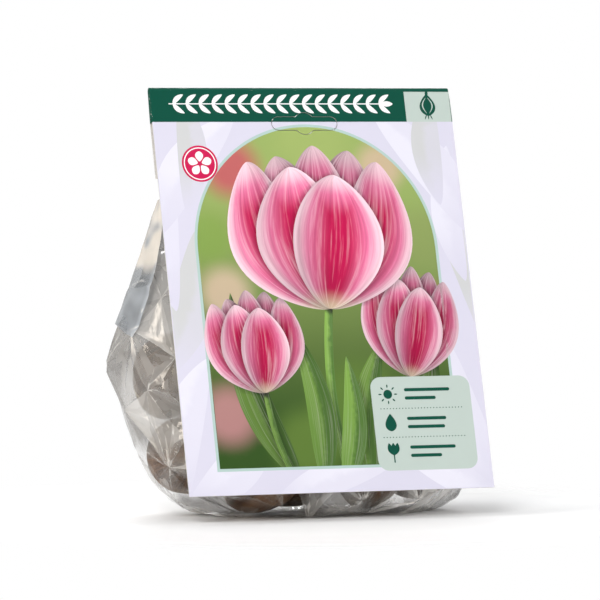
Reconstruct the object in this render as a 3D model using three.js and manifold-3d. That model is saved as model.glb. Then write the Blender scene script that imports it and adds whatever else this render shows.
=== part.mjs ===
// A retail pack of ten tulip bulbs: a crumpled clear film bag that sits on its flattened bottom and leans back
// behind a folded, printed header card. Millimetres, +Z up, the card's front faces -Y.
//
// The pack is modelled in the card's own frame and then leaned back: x runs across the card, y is the depth
// behind the front panel's back face, and z runs up the card from its bottom edge.

import * as THREE from "three";
import { mergeVertices } from "three/addons/utils/BufferGeometryUtils.js";
import Module from "manifold-3d";

const wasm = await Module();
wasm.setup();

// Card: one sheet of display board, folded over at the top
const CARD_WIDTH = 145;
const CARD_HEIGHT = 188;
const CARD_THICKNESS = 0.5;
const BACK_FLAP_HEIGHT = 42;
const FOLD_STEPS = 6;
const LEAN = THREE.MathUtils.degToRad(17);
const CARD_LIFT = 12.5;

// Hang slot: a euro slot, die cut through both panels, with its blanks not yet pushed out
const SLOT_WIDTH = 32;
const SLOT_BAR_HEIGHT = 6.6;
const SLOT_HUMP_RADIUS = 5.3;
const SLOT_BELOW_TOP = 17.3;
const SLOT_ARC_STEPS = 6;
const CUT_GAP = 0.3;

// Film bag: its wall is thick enough to be a solid, where the real film is 0.05 mm
const FILM_WALL = 0.8;
const SEAT_GAP = 0.3;
const NECK_DEPTH = 1.8;
const NECK_BOTTOM = 144;
const NECK_TOP = 163;
const FLAP_DEPTH = SEAT_GAP + NECK_DEPTH + SEAT_GAP;
const CAVITY_TOP = 124;
const SHARPEST_MITRE = 0.5;
const COLUMNS = 54;
const BODY_ROWS = 26;
const NECK_ROWS = 2;
const ROWS = BODY_ROWS + NECK_ROWS;
const SQUARENESS = 2.7;
const REAR_FLARE = 0.16;
// The bag's outline up the card: [z, left, right, front, back]
const BAG_OUTLINE = [
  [-8, -32, 44, 20, 54],
  [-2, -46, 60, 11, 60],
  [4, -58.5, 69, 3, 64.5],
  [12, -70, 74, 0.8, 66.5],
  [25, -78, 77, SEAT_GAP, 68],
  [45, -84.5, 78, SEAT_GAP, 69],
  [66, -89, 79, SEAT_GAP, 67],
  [88, -84.5, 78, SEAT_GAP, 57],
  [110, -77.5, 75, SEAT_GAP, 38],
  [130, -71.5, 71, SEAT_GAP, 16],
  [139, -70, 69.5, SEAT_GAP, 5.5],
  [NECK_BOTTOM, -69.5, 69.5, SEAT_GAP, SEAT_GAP + NECK_DEPTH],
  [NECK_TOP, -68.5, 68.5, SEAT_GAP, SEAT_GAP + NECK_DEPTH],
];

// Crumpling of the film: straight creases that cross and leave flat facets between them, each family of
// creases a folded wave in its own direction, with gathers that run down from the neck
const FILM_SEED = 26;
const CREASE_FAMILIES = 7;
const CREASE_SPACING = [24, 52];
const CREASE_DEPTH = [0.8, 1.5];
const RUMPLE_DEPTH = 1.1;
const RUMPLE_SHIFT = 0.28;
const GATHER_DEPTH = 1.5;
const GATHER_WIDTH = 17;
const GATHER_REACH = 45;

// Punched vent holes in the bag's back
const VENT_RADIUS = 3;
const VENT_SPACING = 44;
const VENT_HEIGHTS = [52, 92];
const VENTS_ACROSS = 3;
const VENT_STEPS = 12;

// Bulbs of size 11/12, which measure 11 to 12 cm round
const BULB_COUNT = 10;
const BULB_SEED = 5;
const BULB_SIDES = 18;
const BULB_RINGS = 13;
const BULB_CLEARANCE = 0.2;
const BULB_SKIN = 0.05;
const BULB_FLAT_SIDE = 0.06;
const BULB_SMALLEST = 0.95;
const BULB_LARGEST = 1.02;
// Balls along a bulb's axis, [height above its base, radius]: its outline is their envelope
const BULB_BALLS = [
  [16.8, 16.8],
  [19, 18.2],
  [23.5, 17.1],
  [28, 15.0],
  [32.5, 12.1],
  [36.5, 9.0],
  [40, 6.2],
  [43, 4.0],
  [45, 2.4],
];
const BULB_LENGTH = 47;
const BASAL_PLATE = 1.5;

// How the bulbs are laid in the bag: small bulbs in two layers, which grow while they fall, step by step
const PILE_COLUMNS = 5;
const PILE_SPACING = 31;
const PILE_LAYER = 38;
const PILE_DEPTHS = [22, 46];
const FIRST_SIZE = 0.3;
const GROWN_BY = 0.6;
const FALL_STEPS = 900;
const FIRST_FALL = 0.25;
const LAST_FALL = 0.02;
const RELAX_STEPS = 120;
const NEAR_WALL = 42;

const down = new THREE.Vector3(0, Math.sin(LEAN), -Math.cos(LEAN));

// Height of the ground, which the bag sits on, at a depth y behind the card
const groundAt = (y) =>
  (y * Math.sin(LEAN) - CARD_LIFT) / Math.cos(LEAN);

// A repeatable random number from 0 to 1
function randomFrom(seed) {
  let state = seed >>> 0;
  return () => {
    state = (state + 0x6d2b79f5) >>> 0;
    let t = Math.imul(state ^ (state >>> 15), 1 | state);
    t = (t + Math.imul(t ^ (t >>> 7), 61 | t)) ^ t;
    return ((t ^ (t >>> 14)) >>> 0) / 4294967296;
  };
}

// Turns a closed three.js geometry into a solid for cutting and joining
function solidOf(geometry) {
  const bare = geometry.clone();
  bare.deleteAttribute("normal");
  bare.deleteAttribute("uv");
  const merged = mergeVertices(bare, 1e-4);
  return new wasm.Manifold(
    new wasm.Mesh({
      numProp: 3,
      vertProperties: merged.attributes.position.array,
      triVerts: new Uint32Array(merged.index.array),
    }),
  );
}

function geometryOf(solid) {
  const mesh = solid.getMesh();
  const geometry = new THREE.BufferGeometry();
  geometry.setAttribute(
    "position",
    new THREE.BufferAttribute(new Float32Array(mesh.vertProperties), 3),
  );
  geometry.setIndex(new THREE.BufferAttribute(new Uint32Array(mesh.triVerts), 1));
  geometry.computeVertexNormals();
  return geometry;
}

// The card's section in y and z, a sheet folded back on itself, swept across its width
function foldedCard() {
  const inside = FLAP_DEPTH / 2;
  const outside = inside + CARD_THICKNESS;
  const foldHeight = CARD_HEIGHT - outside;
  const section = new THREE.Shape();
  section.moveTo(-CARD_THICKNESS, 0);
  section.lineTo(0, 0);
  section.lineTo(0, foldHeight);
  section.absarc(inside, foldHeight, inside, Math.PI, 0, true);
  section.lineTo(FLAP_DEPTH, CARD_HEIGHT - BACK_FLAP_HEIGHT);
  section.lineTo(FLAP_DEPTH + CARD_THICKNESS, CARD_HEIGHT - BACK_FLAP_HEIGHT);
  section.lineTo(FLAP_DEPTH + CARD_THICKNESS, foldHeight);
  section.absarc(inside, foldHeight, outside, 0, Math.PI, false);
  section.closePath();
  const sheet = new THREE.ExtrudeGeometry(section, {
    depth: CARD_WIDTH,
    bevelEnabled: false,
    curveSegments: FOLD_STEPS,
  });
  // The section is drawn with x as depth and y as height, and swept along its own z
  sheet.applyMatrix4(new THREE.Matrix4().makeBasis(
    new THREE.Vector3(0, 1, 0),
    new THREE.Vector3(0, 0, 1),
    new THREE.Vector3(1, 0, 0),
  ));
  sheet.translate(-CARD_WIDTH / 2, 0, 0);
  return sheet;
}

// A euro slot's outline, drawn in by inset, as a plate from depth y0 to y1
function slotPlate(inset, y0, y1) {
  const bar = SLOT_BAR_HEIGHT / 2 - inset;
  const hump = SLOT_HUMP_RADIUS - inset;
  const end = SLOT_WIDTH / 2 - SLOT_BAR_HEIGHT / 2;
  const rise = Math.asin(bar / hump);
  const outline = new THREE.Shape();
  outline.absarc(end, 0, bar, -Math.PI / 2, Math.PI / 2, false);
  outline.absarc(0, 0, hump, rise, Math.PI - rise, false);
  outline.absarc(-end, 0, bar, Math.PI / 2, (3 * Math.PI) / 2, false);
  outline.absarc(0, 0, hump, Math.PI + rise, 2 * Math.PI - rise, false);
  outline.closePath();
  const plate = new THREE.ExtrudeGeometry(outline, {
    depth: y1 - y0,
    bevelEnabled: false,
    curveSegments: SLOT_ARC_STEPS,
  });
  plate.rotateX(Math.PI / 2);
  plate.translate(0, y1, CARD_HEIGHT - SLOT_BELOW_TOP);
  return plate;
}

function cardGeometry() {
  const cut = slotPlate(0, -2 * CARD_THICKNESS, FLAP_DEPTH + 2 * CARD_THICKNESS);
  return geometryOf(solidOf(foldedCard()).subtract(solidOf(cut)));
}

// The bag's outline at height z, smooth between the stations
function outlineAt(z) {
  const last = BAG_OUTLINE.length - 1;
  let i = 0;
  while (i < last - 1 && BAG_OUTLINE[i + 1][0] < z) i += 1;
  const [a, b] = [BAG_OUTLINE[i], BAG_OUTLINE[i + 1]];
  const before = BAG_OUTLINE[Math.max(i - 1, 0)];
  const after = BAG_OUTLINE[Math.min(i + 2, last)];
  const span = b[0] - a[0];
  const t = (z - a[0]) / span;
  const values = [1, 2, 3, 4].map((k) => {
    const slopeA = ((b[k] - before[k]) / (b[0] - before[0])) * span;
    const slopeB = ((after[k] - a[k]) / (after[0] - a[0])) * span;
    return (
      (2 * t ** 3 - 3 * t ** 2 + 1) * a[k] +
      (t ** 3 - 2 * t ** 2 + t) * slopeA +
      (3 * t ** 2 - 2 * t ** 3) * b[k] +
      (t ** 3 - t ** 2) * slopeB
    );
  });
  return { left: values[0], right: values[1], front: values[2], back: values[3] };
}

// The bag's section at height z as COLUMNS evenly spaced points, from the middle of its front
function sectionAt(z) {
  const { left, right, front, back } = outlineAt(z);
  const [middleX, halfX] = [(left + right) / 2, (right - left) / 2];
  const [middleY, halfY] = [(front + back) / 2, (back - front) / 2];
  const curve = new THREE.CurvePath();
  const steps = 160;
  const at = (i) => {
    const angle = -Math.PI / 2 + (2 * Math.PI * i) / steps;
    const [c, s] = [Math.cos(angle), Math.sin(angle)];
    const px = Math.sign(c) * Math.abs(c) ** (2 / SQUARENESS);
    const py = Math.sign(s) * Math.abs(s) ** (2 / SQUARENESS);
    return new THREE.Vector3(
      middleX + halfX * px * (1 + (REAR_FLARE * py) / 2),
      middleY + halfY * py,
      z,
    );
  };
  for (let i = 0; i < steps; i += 1) curve.add(new THREE.LineCurve3(at(i), at(i + 1)));
  return curve.getSpacedPoints(COLUMNS).slice(0, COLUMNS);
}

// Heights of the bag's rows: close together at the bottom, where it turns under, and plain in the neck
function rowHeights() {
  const bottom = BAG_OUTLINE[0][0];
  const body = Array.from({ length: BODY_ROWS }, (_, r) => {
    const t = r / (BODY_ROWS - 1);
    return bottom + (NECK_BOTTOM - bottom) * (0.5 * t + 0.5 * t ** 2);
  });
  const neckStep = (NECK_TOP - NECK_BOTTOM) / NECK_ROWS;
  const neck = Array.from({ length: NECK_ROWS }, (_, r) => NECK_BOTTOM + (r + 1) * neckStep);
  return [...body, ...neck];
}

// Outward directions of the four corners of the surface that meet at a point of the grid
function cornersAt(grid, r, c) {
  const point = grid[r][c];
  const spokes = [
    [r, c + 1],
    [r + 1, c],
    [r, c - 1],
    [r - 1, c],
  ].map(([row, column]) => grid[row]?.[(column + COLUMNS) % COLUMNS]?.clone().sub(point));
  return spokes
    .map((spoke, i) => [spoke, spokes[(i + 1) % spokes.length]])
    .filter(([a, b]) => a && b)
    .map(([a, b]) => a.clone().cross(b).normalize());
}

function outwardAt(grid, r, c) {
  return cornersAt(grid, r, c)
    .reduce((sum, corner) => sum.add(corner), new THREE.Vector3())
    .normalize();
}

// The point moved in from the surface, far enough to lie at that depth under every corner round it
function insetAt(grid, r, c, depth) {
  const outward = outwardAt(grid, r, c);
  const facing = Math.min(...cornersAt(grid, r, c).map((corner) => corner.dot(outward)));
  const reach = depth / Math.max(facing, SHARPEST_MITRE);
  return grid[r][c].clone().addScaledVector(outward, -reach);
}

// Keeps a point of the film on its own side of the ground and the card, and thin at the neck
function seated(point, wall) {
  const y = Math.max(point.y, SEAT_GAP + wall);
  const z = Math.max(point.z, groundAt(y) + wall / Math.cos(LEAN));
  return point.set(point.x, y, z);
}

// Families of parallel creases, each with its direction, spacing, depth and place
function creaseFamilies(random) {
  const between = ([low, high]) => THREE.MathUtils.lerp(low, high, random());
  return Array.from({ length: CREASE_FAMILIES }, () => ({
    across: new THREE.Vector3(random() - 0.5, random() - 0.5, random() - 0.5).normalize(),
    spacing: between(CREASE_SPACING),
    depth: between(CREASE_DEPTH),
    place: random(),
  }));
}

// How far all the creases together move a point of the film in or out
function creasedBy(families, point) {
  return families.reduce((sum, { across, spacing, depth, place }) => {
    const turns = point.dot(across) / spacing + place;
    return sum + depth * (4 * Math.abs(turns - Math.floor(turns) - 0.5) - 1);
  }, 0);
}

// The film's outer face as rows of points, crumpled and seated on the ground and against the card
function crumpledGrid() {
  const random = randomFrom(FILM_SEED);
  const families = creaseFamilies(random);
  const heights = rowHeights();
  const smooth = heights.map(sectionAt);
  return smooth.map((row, r) =>
    row.map((point, c) => {
      const outward = outwardAt(smooth, r, c);
      const beside = row[(c + 1) % COLUMNS].clone().sub(point);
      const below = NECK_BOTTOM - point.z;
      const free = THREE.MathUtils.smoothstep(below, 0, 12);
      const gather =
        GATHER_DEPTH *
        Math.sin((2 * Math.PI * point.x) / GATHER_WIDTH + 1.5 * Math.sin(point.z / 19)) *
        Math.max(0, 1 - below / GATHER_REACH);
      const rumple = RUMPLE_DEPTH * (2 * random() - 1);
      const shift = RUMPLE_SHIFT * (2 * random() - 1);
      const moved = point
        .clone()
        .addScaledVector(outward, free * (gather + rumple + creasedBy(families, point)))
        .addScaledVector(beside, free * shift);
      return seated(moved, 0);
    }),
  );
}

// A closed skin over rows of points, with a point in the middle of the first and last row
function skinOver(grid, wall) {
  const rows = grid.length;
  const positions = grid.flat().flatMap((p) => [p.x, p.y, p.z]);
  const middleOf = (row) =>
    row.reduce((sum, p) => sum.add(p), new THREE.Vector3()).divideScalar(COLUMNS);
  const bottom = middleOf(grid[0]);
  const top = middleOf(grid[rows - 1]);
  seated(bottom.setZ(groundAt(bottom.y)), wall);
  positions.push(bottom.x, bottom.y, bottom.z, top.x, top.y, top.z);
  const [bottomIndex, topIndex] = [rows * COLUMNS, rows * COLUMNS + 1];
  const faces = [];
  for (let c = 0; c < COLUMNS; c += 1) {
    const next = (c + 1) % COLUMNS;
    for (let r = 0; r < rows - 1; r += 1) {
      const [a, b] = [r * COLUMNS + c, r * COLUMNS + next];
      const [d, e] = [a + COLUMNS, b + COLUMNS];
      if ((r + c) % 2) faces.push(a, b, e, a, e, d);
      else faces.push(a, b, d, b, e, d);
    }
    faces.push(bottomIndex, next, c);
    faces.push(topIndex, (rows - 1) * COLUMNS + c, (rows - 1) * COLUMNS + next);
  }
  const skin = new THREE.BufferGeometry();
  skin.setAttribute("position", new THREE.Float32BufferAttribute(positions, 3));
  skin.setIndex(faces);
  return skin;
}

// The film's inner face: the outer one moved in by the wall's thickness, up to the top of the cavity
function cavityGrid(grid) {
  return grid
    .map((row, r) =>
      row.map((_, c) => seated(insetAt(grid, r, c, FILM_WALL), FILM_WALL)),
    )
    .filter((row, r) => Math.max(...grid[r].map((p) => p.z)) < CAVITY_TOP);
}

function ventSolids() {
  const vents = [];
  for (const z of VENT_HEIGHTS)
    for (let i = 0; i < VENTS_ACROSS; i += 1) {
      const vent = new THREE.CylinderGeometry(VENT_RADIUS, VENT_RADIUS, 60, VENT_STEPS);
      vent.translate((i - (VENTS_ACROSS - 1) / 2) * VENT_SPACING, 70, z);
      vents.push(solidOf(vent));
    }
  return vents;
}

function bagGeometry(grid, cavity) {
  let film = solidOf(skinOver(grid, 0)).subtract(solidOf(skinOver(cavity, FILM_WALL)));
  for (const vent of ventSolids()) film = film.subtract(vent);
  return geometryOf(film);
}

// A bulb's radius at a height above its base
function bulbRadius(height) {
  const squares = BULB_BALLS.map(([at, radius]) => radius ** 2 - (height - at) ** 2);
  return Math.sqrt(Math.max(0, ...squares));
}

// A bulb that stands on the origin, with a flat basal plate and one flatter side, inside its balls
function bulbGeometry(scale, flatAngle) {
  const profile = [new THREE.Vector2(0, BASAL_PLATE)];
  for (let i = 0; i < BULB_RINGS; i += 1) {
    const rise = Math.sin((Math.PI / 2) * (i / BULB_RINGS)) ** 1.15;
    const height = THREE.MathUtils.lerp(BASAL_PLATE, BULB_LENGTH, rise);
    profile.push(new THREE.Vector2(bulbRadius(height) - BULB_SKIN, height));
  }
  profile.push(new THREE.Vector2(0, BULB_LENGTH));
  const bulb = new THREE.LatheGeometry(profile, BULB_SIDES);
  const position = bulb.getAttribute("position");
  for (let i = 0; i < position.count; i += 1) {
    const [x, z] = [position.getX(i), position.getZ(i)];
    const facing = Math.max(0, Math.cos(Math.atan2(z, x) - flatAngle));
    const drawnIn = 1 - BULB_FLAT_SIDE * facing ** 2;
    position.setX(i, x * drawnIn);
    position.setZ(i, z * drawnIn);
  }
  bulb.scale(scale, scale, scale);
  return bulb;
}

// Bulbs as rods of balls: each has a base point, an axis and its balls' places on that axis
function looseBulbs(random) {
  return Array.from({ length: BULB_COUNT }, (_, i) => {
    const column = i % PILE_COLUMNS;
    const layer = Math.floor(i / PILE_COLUMNS);
    const scale = THREE.MathUtils.lerp(BULB_SMALLEST, BULB_LARGEST, random());
    const axis = new THREE.Vector3(random() - 0.5, 0.6 * (random() - 0.5), random() - 0.25);
    const middle = new THREE.Vector3(
      (column - (PILE_COLUMNS - 1) / 2) * PILE_SPACING - 5,
      PILE_DEPTHS[(column + layer) % 2],
      30 + PILE_LAYER * layer,
    );
    return { scale, size: FIRST_SIZE * scale, axis: axis.normalize(), middle, balls: [] };
  });
}

// Puts a bulb's balls back on a straight axis, which is turned to follow where they were pushed
function straighten(bulb) {
  const places = BULB_BALLS.map(([at]) => at * bulb.size);
  const mean = places.reduce((sum, at) => sum + at, 0) / places.length;
  if (bulb.balls.length) {
    const weights = BULB_BALLS.map(([, radius]) => radius);
    const total = weights.reduce((sum, w) => sum + w, 0);
    const meanAt = places.reduce((sum, at, k) => sum + at * weights[k], 0) / total;
    const centre = new THREE.Vector3();
    bulb.balls.forEach((ball, k) => centre.addScaledVector(ball, weights[k] / total));
    const turn = new THREE.Vector3();
    bulb.balls.forEach((ball, k) =>
      turn.addScaledVector(ball.clone().sub(centre), weights[k] * (places[k] - meanAt)),
    );
    bulb.axis.copy(turn.normalize());
    bulb.middle.copy(centre).addScaledVector(bulb.axis, mean - meanAt);
  }
  bulb.balls = places.map((at) =>
    bulb.middle.clone().addScaledVector(bulb.axis, at - mean),
  );
  bulb.base = bulb.middle.clone().addScaledVector(bulb.axis, -mean);
}

// Moves two balls, or a ball and a fixed point, apart until they are at least reach from each other
function pushApart(a, b, reach, fixed) {
  if (a.distanceToSquared(b) >= reach ** 2) return 0;
  const apart = a.clone().sub(b);
  const short = reach - apart.length();
  apart.setLength(fixed ? short : short / 2);
  a.add(apart);
  if (!fixed) b.sub(apart);
  return short;
}

// One round of pushing the bulbs off each other and off the bag's inner face
function separate(bulbs, wallPoints) {
  let worst = 0;
  const radiusOf = (bulb, k) => BULB_BALLS[k][1] * bulb.size;
  bulbs.forEach((bulb, i) => {
    bulbs.slice(i + 1).forEach((other) => {
      if (bulb.middle.distanceTo(other.middle) > 2 * BULB_LENGTH) return;
      bulb.balls.forEach((ball, k) =>
        other.balls.forEach((another, m) => {
          const reach = radiusOf(bulb, k) + radiusOf(other, m) + BULB_CLEARANCE;
          worst = Math.max(worst, pushApart(ball, another, reach, false));
        }),
      );
    });
    bulb.balls.forEach((ball, k) => {
      const room = radiusOf(bulb, k) + FILM_WALL + 2 * BULB_CLEARANCE;
      const short = room - (ball.z - groundAt(ball.y)) * Math.cos(LEAN);
      if (short > 0) ball.addScaledVector(down, -short);
      worst = Math.max(worst, short);
    });
    wallPoints.forEach((point) => {
      if (bulb.middle.distanceToSquared(point) > NEAR_WALL ** 2) return;
      bulb.balls.forEach((ball, k) => {
        const reach = radiusOf(bulb, k) + 2 * BULB_CLEARANCE;
        worst = Math.max(worst, pushApart(ball, point, reach, true));
      });
    });
    straighten(bulb);
  });
  return worst;
}

// The points of a grid, with more halfway to the next point across, up and along both diagonals
function pointsOver(grid) {
  return grid.flatMap((row, r) =>
    row.flatMap((point, c) => {
      const above = grid[Math.min(r + 1, grid.length - 1)];
      const [next, last] = [(c + 1) % COLUMNS, (c + COLUMNS - 1) % COLUMNS];
      const others = [row[next], above[c], above[next], above[last]];
      return [point, ...others.map((other) => point.clone().lerp(other, 0.5))];
    }),
  );
}

// Lets the bulbs fall into a pile in the bag while they grow from small to their full size, so that each
// stays on its own side of the film, then takes out what overlap is left
function settledBulbs(cavity) {
  const random = randomFrom(BULB_SEED);
  const bulbs = looseBulbs(random);
  const wallPoints = pointsOver(cavity);
  bulbs.forEach(straighten);
  for (let step = 0; step < FALL_STEPS; step += 1) {
    const done = step / FALL_STEPS;
    const fall = THREE.MathUtils.lerp(FIRST_FALL, LAST_FALL, done);
    const grown = Math.min(1, THREE.MathUtils.lerp(FIRST_SIZE, 1, done / GROWN_BY));
    bulbs.forEach((bulb) => {
      bulb.size = bulb.scale * grown;
    });
    bulbs.forEach((bulb) => bulb.balls.forEach((ball) => ball.addScaledVector(down, fall)));
    separate(bulbs, wallPoints);
  }
  let worst = 0;
  for (let step = 0; step < RELAX_STEPS; step += 1) worst = separate(bulbs, wallPoints);
  console.log("bulbs settled, largest overlap of balls " + worst.toFixed(3) + " mm");
  return bulbs;
}

function material(colour, roughness, opacity = 1) {
  return new THREE.MeshStandardMaterial({
    color: colour,
    roughness,
    metalness: 0,
    opacity,
    transparent: opacity < 1,
  });
}

function part(name, geometry, itsMaterial) {
  const mesh = new THREE.Mesh(geometry, itsMaterial);
  mesh.name = name;
  return mesh;
}

function buildPack() {
  const board = material(0xd9d8e2, 0.45);
  const film = material(0xa7a39c, 0.2, 0.5);
  const tunic = material(0x6b4a33, 0.6);
  const pack = new THREE.Group();

  pack.add(part("header_card", cardGeometry(), board));
  pack.add(
    part("slot_blank_front", slotPlate(CUT_GAP, -CARD_THICKNESS, 0), board),
    part(
      "slot_blank_back",
      slotPlate(CUT_GAP, FLAP_DEPTH, FLAP_DEPTH + CARD_THICKNESS),
      board,
    ),
  );

  const grid = crumpledGrid();
  const cavity = cavityGrid(grid);
  pack.add(part("film_bag", bagGeometry(grid, cavity), film));

  const up = new THREE.Vector3(0, 1, 0);
  const random = randomFrom(BULB_SEED + 1);
  settledBulbs(cavity).forEach((bulb, i) => {
    const flatAngle = 2 * Math.PI * random();
    const name = "bulb_" + String(i + 1).padStart(2, "0");
    const mesh = part(name, bulbGeometry(bulb.scale, flatAngle), tunic);
    mesh.quaternion.setFromUnitVectors(up, bulb.axis);
    mesh.position.copy(bulb.base);
    pack.add(mesh);
  });
  return pack;
}

// Leans the pack back and centres it over the origin, standing on z = 0
function standing(pack) {
  pack.rotation.x = -LEAN;
  pack.position.z = CARD_LIFT;
  const group = new THREE.Group();
  group.add(pack);
  const box = new THREE.Box3().setFromObject(group, true);
  const middle = box.getCenter(new THREE.Vector3());
  pack.position.x -= middle.x;
  pack.position.y -= middle.y;
  pack.position.z -= box.min.z;
  return group;
}

export default standing(buildPack());
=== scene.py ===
"""Finishes a retail pack of tulip bulbs: a printed header card, crumpled clear film and dry brown bulbs."""

import math

import bmesh
import bpy
import numpy as np
from mathutils import Matrix, Vector
from mathutils.bvhtree import BVHTree
from mathutils.geometry import delaunay_2d_cdt
from mathutils.kdtree import KDTree


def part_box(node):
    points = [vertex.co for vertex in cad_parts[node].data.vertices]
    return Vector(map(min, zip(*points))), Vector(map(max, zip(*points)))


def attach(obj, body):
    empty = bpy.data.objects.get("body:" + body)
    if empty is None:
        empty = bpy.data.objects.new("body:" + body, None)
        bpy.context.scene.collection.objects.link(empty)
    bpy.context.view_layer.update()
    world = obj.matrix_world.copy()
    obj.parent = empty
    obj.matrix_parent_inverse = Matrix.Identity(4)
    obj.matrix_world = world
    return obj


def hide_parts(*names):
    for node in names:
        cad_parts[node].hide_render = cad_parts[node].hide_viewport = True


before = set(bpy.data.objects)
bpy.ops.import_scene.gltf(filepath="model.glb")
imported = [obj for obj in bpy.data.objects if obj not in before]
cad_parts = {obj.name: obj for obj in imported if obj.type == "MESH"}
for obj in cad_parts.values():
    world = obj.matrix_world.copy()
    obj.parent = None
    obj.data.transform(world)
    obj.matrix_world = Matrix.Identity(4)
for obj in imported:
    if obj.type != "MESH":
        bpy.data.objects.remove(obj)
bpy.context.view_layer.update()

MM = 0.001
RNG = np.random.default_rng(7)

# The colour Mix node's inputs for its share and its two colours
MIX_INPUTS = (0, 6, 7)

# The card's own frame, in millimetres: x across, depth behind the front panel, height up the card
LEAN = math.radians(17)
CARD_WIDTH = 145.0
CARD_HEIGHT = 188.0
CARD_THICKNESS = 0.5
FLAP_DEPTH = 2.4
FLAP_BOTTOM = 146.0
SLOT_HEIGHT = CARD_HEIGHT - 17.3
SLOT_CUT = 0.3

card_low, card_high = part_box("header_card")
CARD_ORIGIN = Vector((
    (card_low.x + card_high.x) / 2,
    card_low.y + CARD_THICKNESS * MM * math.cos(LEAN),
    card_low.z,
))
CARD_TO_WORLD = Matrix.Translation(CARD_ORIGIN) @ Matrix.Rotation(-LEAN, 4, "X")
WORLD_TO_CARD = CARD_TO_WORLD.inverted()

# The photograph's camera: to the left of the card's own normal, a little above it, and far away
PHOTO_SIZE = 600
CAMERA_TURN = math.radians(20.5)
CAMERA_DROP = math.radians(2.4)
CAMERA_DISTANCE = 2.0
FOCAL_PIXELS = 4530
AIM = CARD_ORIGIN + Vector((-20.6, 0, 85.7)) * MM

# Print colours, as light reflected, with red, green and blue from 0 to 1
INK_GREEN = (0.000, 0.068, 0.042)
INK_SAGE = (0.480, 0.560, 0.520)
INK_MINT = (0.420, 0.560, 0.530)
INK_LILAC = (0.640, 0.625, 0.740)
INK_LILAC_PALE = (0.760, 0.750, 0.840)
INK_LILAC_GREY = (0.560, 0.570, 0.560)
INK_CRIMSON = (0.560, 0.010, 0.080)
INK_WHITE = (0.900, 0.900, 0.900)
STREAK_PALE = (0.95, 0.80, 0.84)
STREAK_DARK = (0.25, 0.12, 0.14)
BOARD_BARE = (0.80, 0.79, 0.76)
BOARD_DARK = (0.5456, 0.528, 0.5016)
BOARD_LIGHT = (0.682, 0.660, 0.627)
PETAL_DEEP = (0.520, 0.006, 0.075)
PETAL_PINK = (0.820, 0.200, 0.380)
PETAL_PALE = (0.930, 0.660, 0.740)
PETAL_BASE = (0.830, 0.780, 0.520)
LEAF_DARK = (0.035, 0.095, 0.018)
LEAF_LIGHT = (0.240, 0.420, 0.080)


def aim_camera():
    """The camera that took the photograph, with its lens from the fitted focal length."""
    look = Vector((
        math.sin(CAMERA_TURN) * math.cos(CAMERA_DROP),
        math.cos(CAMERA_TURN) * math.cos(CAMERA_DROP),
        -math.sin(CAMERA_DROP),
    ))
    data = bpy.data.cameras.new("camera")
    data.sensor_width = 36
    data.lens = FOCAL_PIXELS / PHOTO_SIZE * data.sensor_width
    data.clip_end = 20
    camera = bpy.data.objects.new("camera", data)
    camera.location = AIM - look * CAMERA_DISTANCE
    camera.rotation_euler = look.to_track_quat("-Z", "Y").to_euler()
    bpy.context.collection.objects.link(camera)
    bpy.context.scene.camera = camera


class Graph:
    """A node tree that is built by short calls, whose values are sockets, numbers or colours."""

    def __init__(self, tree):
        self.nodes, self.links = tree.nodes, tree.links

    def put(self, socket, value):
        """Links a socket, or sets its number or colour."""
        if isinstance(value, bpy.types.NodeSocket):
            self.links.new(value, socket)
        elif isinstance(value, tuple):
            socket.default_value = (*value, 1)
        else:
            socket.default_value = value

    def put_all(self, sockets, values):
        """Puts values into sockets, one after the other."""
        for socket, value in zip(sockets, values):
            self.put(socket, value)

    def fill(self, node, **inputs):
        """Puts values into a node's inputs, named with underscores for spaces."""
        for name, value in inputs.items():
            self.put(node.inputs[name.replace("_", " ")], value)

    def add(self, kind, settings=None, **inputs):
        """A node with its settings and its inputs."""
        node = self.nodes.new("ShaderNode" + kind)
        for name, value in (settings or {}).items():
            setattr(node, name, value)
        self.fill(node, **inputs)
        return node

    def math(self, operation, *values, clamp=False):
        """The result of a sum on one to three values."""
        node = self.add("Math", {"operation": operation, "use_clamp": clamp})
        self.put_all(node.inputs, values)
        return node.outputs[0]

    def mix(self, share, low, high, blend="MIX"):
        """A colour between two, by a share."""
        node = self.add("Mix", {"data_type": "RGBA", "blend_type": blend})
        self.put_all([node.inputs[index] for index in MIX_INPUTS], (share, low, high))
        return node.outputs[2]

    def ramp(self, value, *stops):
        """A grey level from (position, level) stops."""
        node = self.add("ValToRGB")
        self.put(node.inputs[0], value)
        elements = node.color_ramp.elements
        while len(elements) < len(stops):
            elements.new(0.5)
        for element, (position, level) in zip(elements, stops):
            element.position = position
            element.color = (level, level, level, 1)
        return node.outputs[0]

    def place(self):
        """The point's place in its object."""
        return self.add("TexCoord").outputs["Object"]

    def joined(self, *values):
        """A vector from three values."""
        node = self.add("CombineXYZ")
        self.put_all(node.inputs, values)
        return node.outputs[0]

    def noise(self, place, scale, detail, roughness=0.5, distortion=0.0):
        """Soft noise, a scale's worth of patches to the unit."""
        inputs = {"Scale": scale, "Detail": detail, "Roughness": roughness, "Distortion": distortion}
        return self.add("TexNoise", Vector=place, **inputs).outputs[0]

    def bump(self, height, strength, distance):
        """A normal that shows a height as low relief."""
        return self.add("Bump", Height=height, Strength=strength, Distance=distance).outputs[0]

    def kept(self, name):
        """Values kept with the mesh: their colour, its red, green and blue, and their alpha."""
        node = self.add("VertexColor", {"layer_name": name})
        parts = self.add("SeparateColor", Color=node.outputs["Color"])
        return node.outputs["Color"], *parts.outputs, node.outputs["Alpha"]


def new_material(name, **inputs):
    """A node material with its Principled shader's inputs, as (material, graph, shader)."""
    material = bpy.data.materials.new(name)
    material.use_nodes = True
    graph = Graph(material.node_tree)
    shader = graph.nodes["Principled BSDF"]
    graph.fill(shader, **inputs)
    return material, graph, shader


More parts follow.
